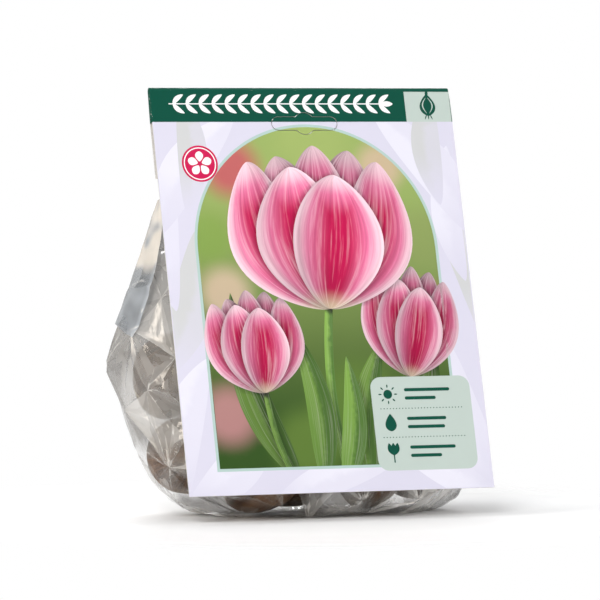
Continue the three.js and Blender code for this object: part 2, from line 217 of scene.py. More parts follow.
def add_piece(name, mesh, slot, *replaced):
    """A piece that rides on the root body, in place of the CAD nodes that are named."""
    piece = bpy.data.objects.new(name, mesh)
    bpy.context.collection.objects.link(piece)
    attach(piece, "root")
    if replaced:
        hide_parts(*replaced)


def keep_values(mesh, name, domain, values):
    """Keeps four numbers for each point or corner of a mesh as a colour attribute."""
    layer = mesh.color_attributes.new(name, "FLOAT_COLOR", domain)
    layer.data.foreach_set("color", np.asarray(values, np.float32).ravel())


def keep_uv(mesh, values):
    """Keeps the picture coordinates of a mesh's corners."""
    mesh.uv_layers.new(name="OFBake").data.foreach_set("uv", np.asarray(values, np.float32).ravel())


def on_card(x, depth, height):
    """A point given in the card's own frame, in millimetres, as a point in the row frame."""
    return CARD_TO_WORLD @ (Vector((x, depth, height)) * MM)


# Outlines of the print, as (number of points, 2) arrays of x and developed height in millimetres

def arc(centre, radius, start, end, steps):
    """Points along an arc, with its angles in degrees."""
    angles = np.radians(np.linspace(start, end, steps + 1))
    return np.array(centre) + radius * np.stack([np.cos(angles), np.sin(angles)], axis=1)


def disc(centre, radius, steps):
    """Points round a circle."""
    return arc(centre, radius, 0, 360, steps)[:-1]


def rounded_box(left, bottom, right, top, radius=0.0, steps=6):
    """A rectangle's outline, with its corners rounded where a radius is given."""
    if radius == 0:
        return np.array([(left, bottom), (right, bottom), (right, top), (left, top)], float)
    return np.concatenate([
        arc((right - radius, bottom + radius), radius, -90, 0, steps),
        arc((right - radius, top - radius), radius, 0, 90, steps),
        arc((left + radius, top - radius), radius, 90, 180, steps),
        arc((left + radius, bottom + radius), radius, 180, 270, steps),
    ])


def arch(half_width, bottom, spring):
    """A round-topped window's outline."""
    return np.concatenate([
        [(-half_width, bottom), (half_width, bottom)],
        arc((0, spring), half_width, 0, 180, 60),
    ])


def euro_slot(height, grow=0.0):
    """The hang slot's outline: a bar with round ends and a round hump in its middle."""
    bar, hump, end = 3.3 + grow, 5.3 + grow, 16 - 3.3
    rise = math.degrees(math.asin(bar / hump))
    return np.concatenate([
        arc((end, height), bar, -90, 90, 10),
        arc((0, height), hump, rise, 180 - rise, 10),
        arc((-end, height), bar, 90, 270, 10),
        arc((0, height), hump, 180 + rise, 360 - rise, 10),
    ])


class Blade:
    """A leaf or petal about a bowed line from base to tip, with its own coordinates: u across, v along."""

    def __init__(self, base, tip, width, bow=0.0, widest=0.5, blunt=0.7):
        self.base = np.array(base, float)
        self.along = np.array(tip, float) - self.base
        self.length = np.linalg.norm(self.along)
        self.along /= self.length
        self.side = np.array([-self.along[1], self.along[0]])
        self.width, self.bow, self.blunt = width, bow, blunt
        self.power = math.log(0.5) / math.log(widest)

    def half_width(self, v):
        """Half the width at shares v of the way along."""
        return self.width / 2 * np.sin(np.pi * np.clip(v, 0, 1) ** self.power) ** self.blunt

    def point(self, u, v):
        """Points at the blade's own coordinates."""
        across = self.bow * np.sin(np.pi * v) + u * self.half_width(v)
        return self.base + np.outer(v * self.length, self.along) + np.outer(across, self.side)

    def outline(self, steps):
        """Points up one side and down the other."""
        v = 0.5 - 0.5 * np.cos(np.linspace(0, np.pi, steps + 1))
        return np.concatenate([self.point(-1, v), self.point(1, v[::-1][1:-1])])

    def unclipped(self, points):
        """How far points are across from the bowed line, and their share of the way along it."""
        offset = points - self.base
        v = offset @ self.along / self.length
        return offset @ self.side - self.bow * np.sin(np.pi * np.clip(v, 0, 1)), v

    def coordinates(self, points):
        """The blade's own coordinates of points, kept within its outline."""
        across, v = self.unclipped(points)
        v = np.clip(v, 0, 1)
        return np.clip(across / np.maximum(self.half_width(v), 0.05), -1, 1), v

    def shadow(self, points):
        """The light left beside this shape, on what lies under it."""
        across, v = self.unclipped(points)
        past = np.abs(v - np.clip(v, 0, 1)) * self.length
        gap = np.hypot(np.maximum(np.abs(across) - self.half_width(v), 0), past)
        return 1 - SHADOW_DEPTH * smooth(SHADOW_WIDTH, 0, gap)


def smooth(low, high, value):
    """A share that rises softly from 0 at low to 1 at high; high may be the smaller one."""
    t = np.clip((value - low) / (high - low), 0, 1)
    return t * t * (3 - 2 * t)


def blend_inks(share, low, high):
    """Colours from low to high by a share for each point."""
    share = np.asarray(share)[:, None]
    return (1 - share) * np.asarray(low) + share * np.asarray(high)


def petal_paint(blade, light, turn):
    """A petal, deep in its middle, pale at edge and tip, greenish at its base, darker on one side."""
    def paint(points):
        u, v = blade.coordinates(points)
        edge = np.maximum(np.abs(u), smooth(0.55, 1.05, v))
        colour = blend_inks(smooth(0.15, 0.8, edge), PETAL_DEEP, PETAL_PINK)
        colour = blend_inks(smooth(0.62, 1.0, edge), colour, PETAL_PALE)
        colour = blend_inks(0.75 * smooth(0.16, 0.0, v), colour, PETAL_BASE)
        shade = light * (1 - 0.30 * smooth(-0.2, 1.0, turn * u)) * (0.72 + 0.28 * smooth(0.0, 0.5, v))
        return colour * shade[:, None]
    return paint


def leaf_paint(blade, light):
    """A leaf folded along its middle, with one half in the light."""
    def paint(points):
        u, v = blade.coordinates(points)
        colour = blend_inks(0.15 + 0.6 * smooth(-0.15, 0.1, u) * (0.4 + 0.6 * v), LEAF_DARK, LEAF_LIGHT)
        return colour * light
    return paint


# How far and how deeply the picture's shapes shade what lies under them
SHADOW_WIDTH = 3.2
SHADOW_DEPTH = 0.42

# The picture's blurred garden: (x, height, radius, strength, colour) of soft patches
GARDEN_PATCHES = [
    (-38, 150, 17, 0.75, (0.55, 0.03, 0.12)),
    (34, 150, 14, 0.55, (0.75, 0.45, 0.40)),
    (2, 164, 22, 0.50, (0.36, 0.45, 0.14)),
    (-52, 118, 15, 0.60, (0.20, 0.33, 0.06)),
    (52, 116, 18, 0.55, (0.24, 0.30, 0.10)),
    (48, 84, 15, 0.60, (0.60, 0.05, 0.18)),
    (-46, 92, 15, 0.60, (0.75, 0.52, 0.42)),
    (-50, 36, 17, 0.55, (0.70, 0.30, 0.34)),
    (10, 40, 24, 0.50, (0.14, 0.25, 0.04)),
    (40, 26, 17, 0.55, (0.62, 0.22, 0.28)),
    (-14, 22, 20, 0.40, (0.20, 0.32, 0.06)),
]
GARDEN_TOP = (0.30, 0.40, 0.12)
GARDEN_BOTTOM = (0.030, 0.075, 0.012)

# Faded leaves on the card's pale ground, from base to tip, with their width
GROUND_LEAVES = [
    Blade((-74, -6), (-30, 40), 20, -6),
    Blade((-76, -4), (-58, 62), 19, 6),
    Blade((-84, 50), (-56, 122), 20, -7),
    Blade((-70, 84), (-66, 150), 15, 5),
    Blade((-76, 118), (-34, 174), 20, 6),
    Blade((-60, 128), (-58, 186), 14, -4),
    Blade((76, -8), (30, 18), 20, -4),
    Blade((78, -2), (56, 70), 21, 7),
    Blade((80, 60), (58, 134), 20, -7),
    Blade((70, 96), (68, 160), 14, 5),
    Blade((78, 116), (34, 176), 21, -6),
    Blade((62, 132), (62, 188), 14, 4),
    Blade((-36, -8), (24, 12), 15, 4),
    Blade((40, 196), (-66, 228), 22, 6),
    Blade((-40, 200), (70, 226), 20, -7),
]


def ground_leaf_paint(leaf, tone):
    """A faded leaf, its one half a little stronger than the other, that fades out towards its base."""
    def paint(points):
        u, v = leaf.coordinates(points)
        share = (0.45 + 0.4 * smooth(-0.1, 0.1, u)) * smooth(0.0, 0.5, v)
        return blend_inks(share, np.tile(INK_LILAC, (len(points), 1)), tone)
    return paint


def garden_paint(points):
    """The picture's far background, out of focus."""
    colour = blend_inks(smooth(20, 160, points[:, 1]), GARDEN_BOTTOM, GARDEN_TOP)
    for x, height, radius, strength, tone in GARDEN_PATCHES:
        away = np.hypot(points[:, 0] - x, points[:, 1] - height) / radius
        colour = blend_inks(strength * smooth(1.15, 0.35, away), colour, tone)
    return colour


class Print:
    """The printed sheet: shapes laid over each other, each with its paint, blade and streaks."""

    def __init__(self):
        self.shapes = []

    def add(self, outline, paint, blade=None, streaks=0.0, clip=None, hole=False, wear=0.0):
        """Lays a shape over the others; its paint is an ink or a function of points."""
        self.shapes.append({
            "outline": outline, "paint": paint, "blade": blade, "streaks": streaks,
            "clip": clip, "hole": hole, "wear": wear,
        })
        return len(self.shapes) - 1

    def blade(self, blade, paint, streaks=0.0, clip=None, steps=26):
        """Lays a leaf or petal over the others."""
        self.add(blade.outline(steps), paint, blade, streaks, clip)


# Developed heights of the folded sheet: up the front, over the fold and down the back flap
FOLD_RADIUS = FLAP_DEPTH / 2 + CARD_THICKNESS
FOLD_START = CARD_HEIGHT - FOLD_RADIUS
FOLD_END = FOLD_START + math.pi * FOLD_RADIUS
SHEET_HEIGHT = FOLD_END + FOLD_START - FLAP_BOTTOM
BACK_SLOT_HEIGHT = FOLD_END + FOLD_START - SLOT_HEIGHT
BAND_BOTTOM = 171.5
BAND_BACK = FOLD_END + FOLD_START - BAND_BOTTOM
# The back flap's months, counted from 0, their squares, and its bars as (height, length)
PLANTING = (8, 9, 10)
FLOWERING = (3, 4)
MONTH_LEFT = 50
MONTH_STEP = 7.6
MONTH_WIDTH = 6.4
MONTH_BOTTOM = 157.4
MONTH_TOP = 162
BACK_BARS = [(153.6, 62), (150.8, 48)]
BACK_BARS_RIGHT = 56.4
BACK_BAR_HALF = 0.6
WORN_EDGE = 0.35
WINDOW_HALF = 57.0
WINDOW_BOTTOM = 12.0
WINDOW_SPRING = 112.0
PANEL = (18.0, 9.0, 66.0, 52.0)
PANEL_CORNER = 5
PANEL_ROW = 13.2
PANEL_SIGN_INSET = 8
PANEL_BAR_INSET = 16
PANEL_BAR_STEP = 3.8
PANEL_BAR_HALF = 0.75
# How close the print's colour points are, on the card and in the picture
PRINT_SPACING = 2.6
PICTURE_SPACING = 1.5


def behind(height):
    """The unfolded sheet's height for a height on the back flap."""
    return FOLD_END + FOLD_START - height


# A tulip's petals, from the back to the front, in shares of its size: each one's tip across and up,
# its width and bow, its light, and the side of it that is darker
TULIP_PETALS = [
    (-0.20, 0.97, 0.42, 0.02, 0.62, -1),
    (0.22, 0.99, 0.42, -0.02, 0.58, 1),
    (0.02, 1.03, 0.40, 0.00, 0.70, 1),
    (-0.37, 0.94, 0.42, 0.13, 0.95, -1),
    (0.38, 0.91, 0.42, -0.13, 0.82, 1),
    (-0.13, 0.90, 0.50, 0.05, 1.02, 1),
    (0.12, 0.84, 0.52, -0.04, 1.0, 1),
]


def draw_tulip(sheet, base, height, width, lean, light):
    """A plain cup-shaped tulip, as wide and high as given."""
    turn = np.array([[math.cos(lean), -math.sin(lean)], [math.sin(lean), math.cos(lean)]])
    for across, up, breadth, bow, brightness, side in TULIP_PETALS:
        tip = np.array(base) + turn @ np.array([across * width, up * height])
        blade = Blade(base, tip, breadth * width, bow * width, widest=0.5, blunt=0.62)
        sheet.blade(blade, petal_paint(blade, light * brightness, side), streaks=1.0, steps=34)


def draw_stem(sheet, top, bottom, width, bow, clip, light):
    """A tulip's stem, up to its flower."""
    stem = Blade(bottom, top, width, bow, widest=0.5, blunt=0.08)
    sheet.blade(stem, leaf_paint(stem, light), streaks=0.4, clip=clip)


def draw_leaf(sheet, base, tip, width, bow, clip, light):
    """A tulip's broad leaf."""
    leaf = Blade(base, tip, width, bow, widest=0.4, blunt=0.8)
    sheet.blade(leaf, leaf_paint(leaf, light), streaks=0.5, clip=clip)


def draw_picture(sheet):
    """The window with its three tulips in a garden."""
    sheet.add(arch(WINDOW_HALF + 1.3, WINDOW_BOTTOM - 1.3, WINDOW_SPRING), INK_MINT)
    window = sheet.add(arch(WINDOW_HALF, WINDOW_BOTTOM, WINDOW_SPRING), garden_paint)
    draw_leaf(sheet, (-20, 6), (-44, 92), 15, 7, window, 0.75)
    draw_leaf(sheet, (26, 6), (50, 74), 14, -6, window, 0.60)
    draw_stem(sheet, (-32, 48), (-22, 6), 3.0, 2, window, 0.9)
    draw_stem(sheet, (38, 54), (30, 6), 3.0, -3, window, 0.8)
    draw_stem(sheet, (3, 90), (4, 4), 4.2, 4, window, 1.3)
    draw_leaf(sheet, (-8, 4), (-16, 76), 13, -5, window, 0.95)
    draw_leaf(sheet, (14, 4), (26, 70), 15, 5, window, 0.85)
    draw_leaf(sheet, (2, 2), (8, 62), 12, -4, window, 1.15)
    draw_tulip(sheet, (38, 52), 50, 44, -0.10, 0.80)
    draw_tulip(sheet, (-32, 46), 46, 44, 0.12, 0.88)
    draw_tulip(sheet, (3, 84), 74, 84, 0.03, 1.05)


def draw_sprig(sheet, start, end, height):
    """A straight white sprig with pairs of small leaves."""
    sheet.add(rounded_box(start, height - 0.25, end + 1, height + 0.25), INK_WHITE)
    for x in np.arange(start + 2, end, 6.2):
        for side in (-1, 1):
            leaf = Blade((x, height), (x + 5.2, height + side * 4.4), 2.3, side * 0.5, widest=0.45)
            sheet.add(leaf.outline(10), INK_WHITE)
    bud = Blade((end, height), (end + 6, height), 2.6)
    sheet.add(bud.outline(12), INK_WHITE)


def draw_bulb_sign(sheet, centre, size, ink, paper, up=1):
    """A plain sign of a bulb with its shoot, scales and roots; up is -1 where it stands on its head."""
    def at(across, rise):
        return centre + np.array([across * size, rise * up * size])
    x = centre[0]
    for side in (-1, 0, 1):
        root = Blade((x + 0.8 * side, at(0, -0.36)[1]), (x + 1.9 * side, at(0, -0.56)[1]), 0.55)
        sheet.add(root.outline(6), ink)
    bulb = Blade(at(0, -0.42), at(0, 0.42), 0.62 * size, widest=0.40, blunt=0.85)
    sheet.add(bulb.outline(20), ink)
    for side in (-up, up):
        bow = -up * side * 0.15 * size
        scale = Blade(at(0.05 * side, -0.32), at(0.03 * side, 0.28), 0.045 * size, bow, blunt=0.5)
        sheet.add(scale.outline(12), paper)
    shoot = Blade(at(0, 0.30), at(0.02 * up, 0.60), 0.12 * size)
    sheet.add(shoot.outline(8), ink)


def draw_sun_sign(sheet, middle, ink):
    """A disc with eight rays."""
    for k in range(8):
        way = np.array([math.cos(k * math.pi / 4), math.sin(k * math.pi / 4)])
        sheet.add(Blade(middle + 2.9 * way, middle + 4.6 * way, 0.7).outline(6), ink)
    sheet.add(disc(middle, 2.1, 24), ink)


def draw_drop_sign(sheet, middle, ink):
    """A drop of water."""
    x, height = middle
    sheet.add(Blade((x, height - 3.8), (x, height + 4.2), 5.4, widest=0.36, blunt=0.85).outline(16), ink)


def draw_flower_sign(sheet, middle, ink):
    """A plain tulip on its stem."""
    x, height = middle
    for side in (-1, 1, 0):
        petal = Blade((x, height - 1.6), (x + 2.1 * side, height + 4.0), 2.5, -0.5 * side)
        sheet.add(petal.outline(12), ink)
    sheet.add(rounded_box(x - 0.3, height - 5, x + 0.3, height - 1), ink)


def draw_panel(sheet):
    """The sage panel with three signs, each beside two plain bars, and dotted rules between them."""
    left, bottom, right, top = PANEL
    sheet.add(rounded_box(left, bottom, right, top, PANEL_CORNER), INK_SAGE)
    for row, draw_sign in enumerate((draw_sun_sign, draw_drop_sign, draw_flower_sign)):
        height = top - PANEL_SIGN_INSET - PANEL_ROW * row
        draw_sign(sheet, np.array([left + PANEL_SIGN_INSET, height]), INK_GREEN)
        start, half = left + PANEL_BAR_INSET, PANEL_BAR_HALF
        for line, length in enumerate((22 - 3 * (row % 2), 15 + 3 * (row % 2))):
            middle = height + PANEL_BAR_STEP / 2 - PANEL_BAR_STEP * line
            bar = rounded_box(start, middle - half, start + length, middle + half, half, 4)
            sheet.add(bar, INK_GREEN)
        if row < 2:
            for x in np.arange(left + 4, right - 3.5, 1.5):
                sheet.add(disc((x, height - PANEL_ROW / 2), 0.28, 6), INK_GREEN)


def draw_badge(sheet, centre, radius):
    """A crimson badge with a white ring and a plain five-petalled flower."""
    for inset, ink in ((0, INK_CRIMSON), (0.9, INK_WHITE), (1.4, INK_CRIMSON)):
        sheet.add(disc(centre, radius - inset, 56), ink)
    for k in range(5):
        way = np.array([math.sin(k * math.tau / 5), math.cos(k * math.tau / 5)])
        petal = Blade(centre + 0.9 * way, centre + 0.68 * radius * way, 0.44 * radius, widest=0.6, blunt=0.6)
        sheet.add(petal.outline(14), INK_WHITE)
    sheet.add(disc(centre, 0.13 * radius, 16), INK_CRIMSON)


def draw_back(sheet):
    """The back flap's row of twelve months and its plain bars, which stand upright when seen from behind."""
    for month in range(12):
        left = MONTH_LEFT - MONTH_STEP * month
        ink = INK_CRIMSON if month in FLOWERING else INK_GREEN if month in PLANTING else INK_SAGE
        sheet.add(rounded_box(left, behind(MONTH_TOP), left + MONTH_WIDTH, behind(MONTH_BOTTOM), 1), ink)
    right, half = BACK_BARS_RIGHT, BACK_BAR_HALF
    for height, length in BACK_BARS:
        bar = rounded_box(right - length, behind(height + half), right, behind(height - half), half, 4)
        sheet.add(bar, INK_GREEN)
    sheet.add(rounded_box(-64, behind(163.5), -42, behind(148.5), 2), INK_SAGE)
    draw_bulb_sign(sheet, (-53, behind(156)), 11, INK_GREEN, INK_SAGE, up=-1)


def draw_print():
    """Everything printed on the unfolded sheet, from the ground up."""
    sheet = Print()
    half = CARD_WIDTH / 2
    sheet.add(rounded_box(-half, 0, half, SHEET_HEIGHT), INK_LILAC, wear=1.0)
    edge = WORN_EDGE
    ground = sheet.add(rounded_box(-half + edge, edge, half - edge, SHEET_HEIGHT - edge), INK_LILAC)
    for k, leaf in enumerate(GROUND_LEAVES):
        tone = INK_LILAC_GREY if k % 3 == 2 else INK_LILAC_PALE
        sheet.blade(leaf, ground_leaf_paint(leaf, tone), clip=ground)
    draw_picture(sheet)
    sheet.add(rounded_box(-half, BAND_BOTTOM, half, BAND_BACK), INK_GREEN, wear=1.0)
    sheet.add(rounded_box(-half + edge, BAND_BOTTOM, half - edge, BAND_BACK), INK_GREEN)
    sheet.add(rounded_box(50, BAND_BOTTOM, half - edge, FOLD_START - 0.5), INK_SAGE)
    for line in np.linspace(FOLD_START, FOLD_END, 9):
        sheet.add(rounded_box(-half + edge, line - 0.02, half - edge, line + 0.02), INK_GREEN, wear=0.5)
    draw_sprig(sheet, -64, 38, 180)
    draw_bulb_sign(sheet, (61, 179.5), 12.5, INK_GREEN, INK_SAGE)
    draw_panel(sheet)
    draw_badge(sheet, np.array([-52.0, 152.0]), 8.5)
    draw_back(sheet)
    for height in (SLOT_HEIGHT, BACK_SLOT_HEIGHT):
        sheet.add(euro_slot(height), None, hole=True)
    return sheet


# The card

def sheet_point(x, along, inset):
    """A point of the unfolded sheet, folded into place; inset goes in from the printed face."""
    if along <= FOLD_START:
        return on_card(x, inset - CARD_THICKNESS, along)
    if along >= FOLD_END:
        return on_card(x, FLAP_DEPTH + CARD_THICKNESS - inset, FOLD_START + FOLD_END - along)
    angle = (along - FOLD_START) / FOLD_RADIUS
    radius = FOLD_RADIUS - inset
    return on_card(x, FLAP_DEPTH / 2 - radius * math.cos(angle), FOLD_START + radius * math.sin(angle))


def scattered(left, bottom, right, top, spacing):
    """Points in loose rows over a rectangle."""
    across = np.arange(left + spacing / 2, right, spacing)
    up = np.arange(bottom + spacing / 2, top, spacing)
    points = np.stack(np.meshgrid(across, up), axis=-1).reshape(-1, 2)
    return points + RNG.uniform(-0.3, 0.3, points.shape) * spacing


def triangulated(sheet, kept=None):
    """The print's corners, its triangles and each one's topmost shape, inside the kept shape if any."""
    half = CARD_WIDTH / 2
    points, faces = [], []
    for shape in sheet.shapes:
        faces.append(list(range(len(points), len(points) + len(shape["outline"]))))
        points.extend(shape["outline"])
    points.extend(scattered(-half, 0, half, SHEET_HEIGHT, PRINT_SPACING))
    window_top = WINDOW_SPRING + WINDOW_HALF
    points.extend(scattered(-WINDOW_HALF, WINDOW_BOTTOM, WINDOW_HALF, window_top, PICTURE_SPACING))
    result = delaunay_2d_cdt([Vector(p) for p in points], [], faces, 0, 1e-4, True)
    corners = np.array([tuple(p) for p in result[0]])
    triangles, tops = [], []
    for triangle, inside in zip(result[2], result[5]):
        layers = set(inside)
        seen = [k for k in layers if sheet.shapes[k]["clip"] is None or sheet.shapes[k]["clip"] in layers]
        if kept is not None:
            seen = [k for k in seen if k != kept and not sheet.shapes[k]["hole"]] if kept in layers else []
        if seen and not any(sheet.shapes[k]["hole"] for k in seen):
            triangles.append(triangle)
            tops.append(max(seen))
    return corners, np.array(triangles), np.array(tops)


def painted(sheet, points, tops):
    """For each triangle's corners, the colour with its wear, and the blade coordinates with streaks."""
    colours = np.zeros((len(tops), 3, 4), np.float32)
    blades = np.zeros((len(tops), 3, 4), np.float32)
    for k in np.unique(tops):
        shape = sheet.shapes[k]
        chosen = tops == k
        flat = points[chosen].reshape(-1, 2)
        paint = shape["paint"]
        colours[chosen, :, :3] = paint(flat).reshape(-1, 3, 3) if callable(paint) else paint
        colours[chosen, :, 3] = shape["wear"]
        if shape["blade"] is not None:
            if shape["streaks"]:
                for over in sheet.shapes[k + 1:]:
                    if over["streaks"]:
                        colours[chosen, :, :3] *= over["blade"].shadow(flat).reshape(-1, 3, 1)
            u, v = shape["blade"].coordinates(flat)
            blades[chosen, :, 0] = u.reshape(-1, 3)
            blades[chosen, :, 1] = v.reshape(-1, 3)
            blades[chosen, :, 2] = (k * 0.618) % 1
            blades[chosen, :, 3] = shape["streaks"]
    return colours, blades


def card_material():
    """Coated board: the print, fine streaks along petals and leaves, and bare fibre at the worn edges."""
    material, graph, shader = new_material("printed_card", Specular_IOR_Level=0.3)
    ink, _, _, _, worn = graph.kept("Print")
    _, across, along, which, streaked = graph.kept("Blade")
    stretched = (graph.math("MULTIPLY", *pair) for pair in ((across, 11.0), (along, 1.6), (which, 40.0)))
    veins = graph.noise(graph.joined(*stretched), 1.0, 4.0, 0.62)
    tone = graph.math("MULTIPLY", graph.math("MULTIPLY_ADD", veins, 1.5, -0.75), streaked)
    colour = graph.mix(graph.math("MAXIMUM", tone, 0.0), ink, STREAK_PALE)
    dark = graph.math("MULTIPLY", graph.math("MINIMUM", tone, 0.0), -1.0)
    colour = graph.mix(dark, colour, graph.mix(1.0, ink, STREAK_DARK, "MULTIPLY"))
    fibre = graph.noise(graph.place(), 900.0, 3.0, 0.6)
    chipped = graph.math("MULTIPLY", graph.ramp(fibre, (0.63, 0), (0.71, 1)), worn)
    smudge = graph.noise(graph.place(), 38.0, 3.0)
    graph.fill(
        shader, Base_Color=graph.mix(chipped, colour, BOARD_BARE), Normal=graph.bump(fibre, 0.06, 0.0001),
        Roughness=graph.math("MULTIPLY_ADD", smudge, 0.16, 0.24))
    return material


def board_material():
    """The board's unprinted back and cut edges, grey-white with fine fibres."""
    material, graph, shader = new_material("plain_board", Roughness=0.85)
    fibre = graph.noise(graph.place(), 700.0, 5.0, 0.7)
    colour = graph.mix(graph.ramp(fibre, (0.35, 0), (0.7, 1)), BOARD_DARK, BOARD_LIGHT)
    graph.fill(shader, Base_Color=colour, Normal=graph.bump(fibre, 0.3, 0.0001))
    return material


# The board's picture coordinates: their span, the two faces' joint width in widths of one, margin and gap
UV_SPAN = 0.97
UV_ABREAST = 1.55
UV_MARGIN = 0.012
UV_GAP = 0.02


def board_uv(corners, triangles, rim):
    """Picture coordinates of the printed face, the plain one at half its scale, and the cut edges."""
    low = corners.min(axis=0)
    width, height = corners.max(axis=0) - low
    scale = UV_SPAN / max(height, UV_ABREAST * width)
    front = (corners - low) * scale + UV_MARGIN
    back = (corners - low) * scale / 2 + np.array([front[:, 0].max() + UV_GAP, UV_MARGIN])
    walls = []
    for a, b in rim:
        along = back[b] - back[a]
        out = np.array([along[1], -along[0]]) / np.linalg.norm(along) * CARD_THICKNESS * scale
        walls.append([back[b] + out, back[a] + out, back[a], back[b]])
    parts = front[triangles], back[triangles[:, ::-1]], np.array(walls)
    return np.concatenate([part.reshape(-1, 2) for part in parts])


def board_piece(name, node, corners, triangles, colours, blades, materials):
    """A piece of printed board: its printed face, its plain face behind and its cut edges."""
    used, renumbered = np.unique(triangles, return_inverse=True)
    triangles = renumbered.reshape(-1, 3)
    corners = corners[used]
    count = len(corners)
    outer = [sheet_point(x, along, 0) for x, along in corners]
    inner = [sheet_point(x, along, CARD_THICKNESS) for x, along in corners]
    edges = {}
    for a, b, c in triangles:
        for start, end in ((a, b), (b, c), (c, a)):
            edges[start, end] = True
    rim = [(a, b) for a, b in edges if (b, a) not in edges]
    faces = [tuple(t) for t in triangles]
    faces += [tuple(t[::-1] + count) for t in triangles]
    faces += [(b, a, a + count, b + count) for a, b in rim]
    mesh = bpy.data.meshes.new(name)
    mesh.from_pydata(outer + inner, [], faces)
    keep_uv(mesh, board_uv(corners, triangles, rim))
    rest = np.zeros((len(mesh.loops) - 3 * len(triangles), 4))
    keep_values(mesh, "Print", "CORNER", np.concatenate([colours.reshape(-1, 4), rest]))
    keep_values(mesh, "Blade", "CORNER", np.concatenate([blades.reshape(-1, 4), rest]))
    for material in materials:
        mesh.materials.append(material)
    mesh.polygons.foreach_set("material_index", [int(i >= len(triangles)) for i in range(len(faces))])
    mesh.update()
    add_piece(name, mesh, "card", node)


def build_card():
    """The folded card and the two blanks still held in its hang slots."""
    sheet = draw_print()
    corners, triangles, tops = triangulated(sheet)
    colours, blades = painted(sheet, corners[triangles], tops)
    materials = [card_material(), board_material()]
    board_piece("card", "header_card", corners, triangles, colours, blades, materials)
    for side, height in (("front", SLOT_HEIGHT), ("back", BACK_SLOT_HEIGHT)):
        kept = sheet.add(euro_slot(height, -SLOT_CUT), None)
        corners, triangles, tops = triangulated(sheet, kept)
        colours, blades = painted(sheet, corners[triangles], tops)
        board_piece("blank_" + side, "slot_blank_" + side, corners, triangles, colours, blades, materials)


# The film

# The bag's outline in the card's frame, in millimetres, from its bottom up:
# height, left, right, front and back
BAG_STATIONS = [
    (-8, -32, 44, 20, 54),
    (-2, -46, 60, 11, 60),
    (4, -58.5, 69, 3, 64.5),
    (12, -70, 74, 0.8, 66.5),
    (25, -78, 77, 0.3, 68),
    (45, -84.5, 78, 0.3, 69),
    (66, -89, 79, 0.3, 67),
    (88, -84.5, 78, 0.3, 57),
    (110, -77.5, 75, 0.3, 38),
    (130, -71.5, 71, 0.3, 16),
    (139, -70, 69.5, 0.3, 5.5),
    (144, -69.5, 69.5, 0.3, 2.1),
    (163, -68.5, 68.5, 0.3, 2.1),
]
# How square the bag's section is, from 2 for an ellipse, and how much wider it is at the back
SECTION_SQUARENESS = 2.7
SECTION_FLARE = 0.08
BAG_COLUMNS = 216
BAG_BOTTOM_ROWS = 16
BAG_SIDE_ROWS = 90
NECK_TOP = 163.0
# How far from the smooth shape the CAD bag's face is looked for
CAD_REACH = 12.0
# The height at which crumples are gone in the flat neck, and the one where they start to fade
CRUMPLES_END = (142, 120)
# The least gap between the film and the card, the ground or a bulb
FILM_GAP = 0.2

# The film's colours and haze, and the flap's: the tone between dark and light paints in part of the shade
# and reflection, and the cream is a painted reflection of warm light
FILM_DARK = (0.145, 0.136, 0.125)
FILM_LIGHT = (0.60, 0.58, 0.545)
FILM_WHITENED = (0.84, 0.82, 0.78)
FILM_CREAM_REFLECTION = (0.74, 0.69, 0.62)
FILM_HAZE = 0.43
FLAP_DARK = (0.17, 0.185, 0.20)
FLAP_LIGHT = (0.44, 0.47, 0.50)
FLAP_HAZE = 0.36

# Round vents in the bag's back, and the depth behind which the film is its back
VENTS = [(x, z) for z in (52, 92) for x in (-44, 0, 44)]
VENT_RADIUS = 3.0
VENT_DEPTH = 40

# The bag's spare corner, folded out beside the card as a flap: its two edges from its top down to its tip
FLAP_BACK = [
    (-72, 7.4, 137.5), (-75.2, 13, 126), (-79, 20, 112), (-81.4, 24, 103), (-83.2, 27.6, 96),
    (-85.2, 31.5, 90), (-86.4, 33.2, 87), (-84.6, 27, 81.5), (-82.4, 22.2, 77.8),
]
FLAP_FRONT = [
    (-71.4, 3, 137), (-72, 4, 122.6), (-73.9, 6.4, 108.5), (-75.4, 9, 101), (-76.6, 11, 95),
    (-78, 13.4, 90), (-79.4, 16, 85.5), (-80.6, 18.5, 81.5), (-82.4, 22.2, 77.8),
]
FLAP_ROWS = 80
FLAP_COLUMNS = 22
# The way out of the flap, how far it stands off low down and is tucked in high up, where it folds,
# and how far each of its plies stands off its middle
FLAP_OUT = (-0.93, -0.36, 0.07)
FLAP_CLEAR = 1.3
FLAP_TUCKED = 1.2
FLAP_FOLD = 0.42
FLAP_PLY = 0.2
# Tones down the flap, as (share of its length, tone), which paint in part of its shade and reflection, and
# the depth of its soft dents
FLAP_TONES = [(0.0, 0.75), (0.22, 0.85), (0.3, 0.3), (0.41, 0.25), (0.43, 0.65), (0.7, 0.45), (1.0, 0.6)]
FLAP_DENTS = 0.3

# The fin seam down the back
SEAM_LEFT = 6.0
SEAM_WIDTH = 9.0
SEAM_RIBS = 6
SEAM_BOTTOM = 4.2
SEAM_TOP = 145.0
SEAM_ROWS = 110
SEAM_COLUMNS = 15
# How far the seam stands off the film where it is joined, how much further at its free edge,
# and its thickness
SEAM_GAP = 0.35
SEAM_LIFT = 0.5
SEAM_THICKNESS = 0.25
# A depth behind the whole bag, from which the film under the seam is looked for
BEHIND_BAG = 120

# Crumples of the film, the largest first: the facets' size in millimetres, how much longer than wide
# they are, how far their corners stand off, how far they go back to the smooth shape, and the share
# of the film that has them
CRUMPLES = [
    (15, 1.7, 1.4, 1.0, 1.0),
    (8, 1.6, 0.7, 0.5, 0.7),
    (4.2, 1.5, 0.38, 0.2, 0.5),
]
CRUMPLE_OUT = 1.2
# How much further the film stands out low down on its left, and how far it is drawn in behind the flap
LOW_BULGE = 2.0
FLAP_HOLLOW = 1.2
# Facet corners that are tried at a size of 10 mm, and those round the neck's rim
PLACES_TRIED = 30000
RIM_POINTS = 36
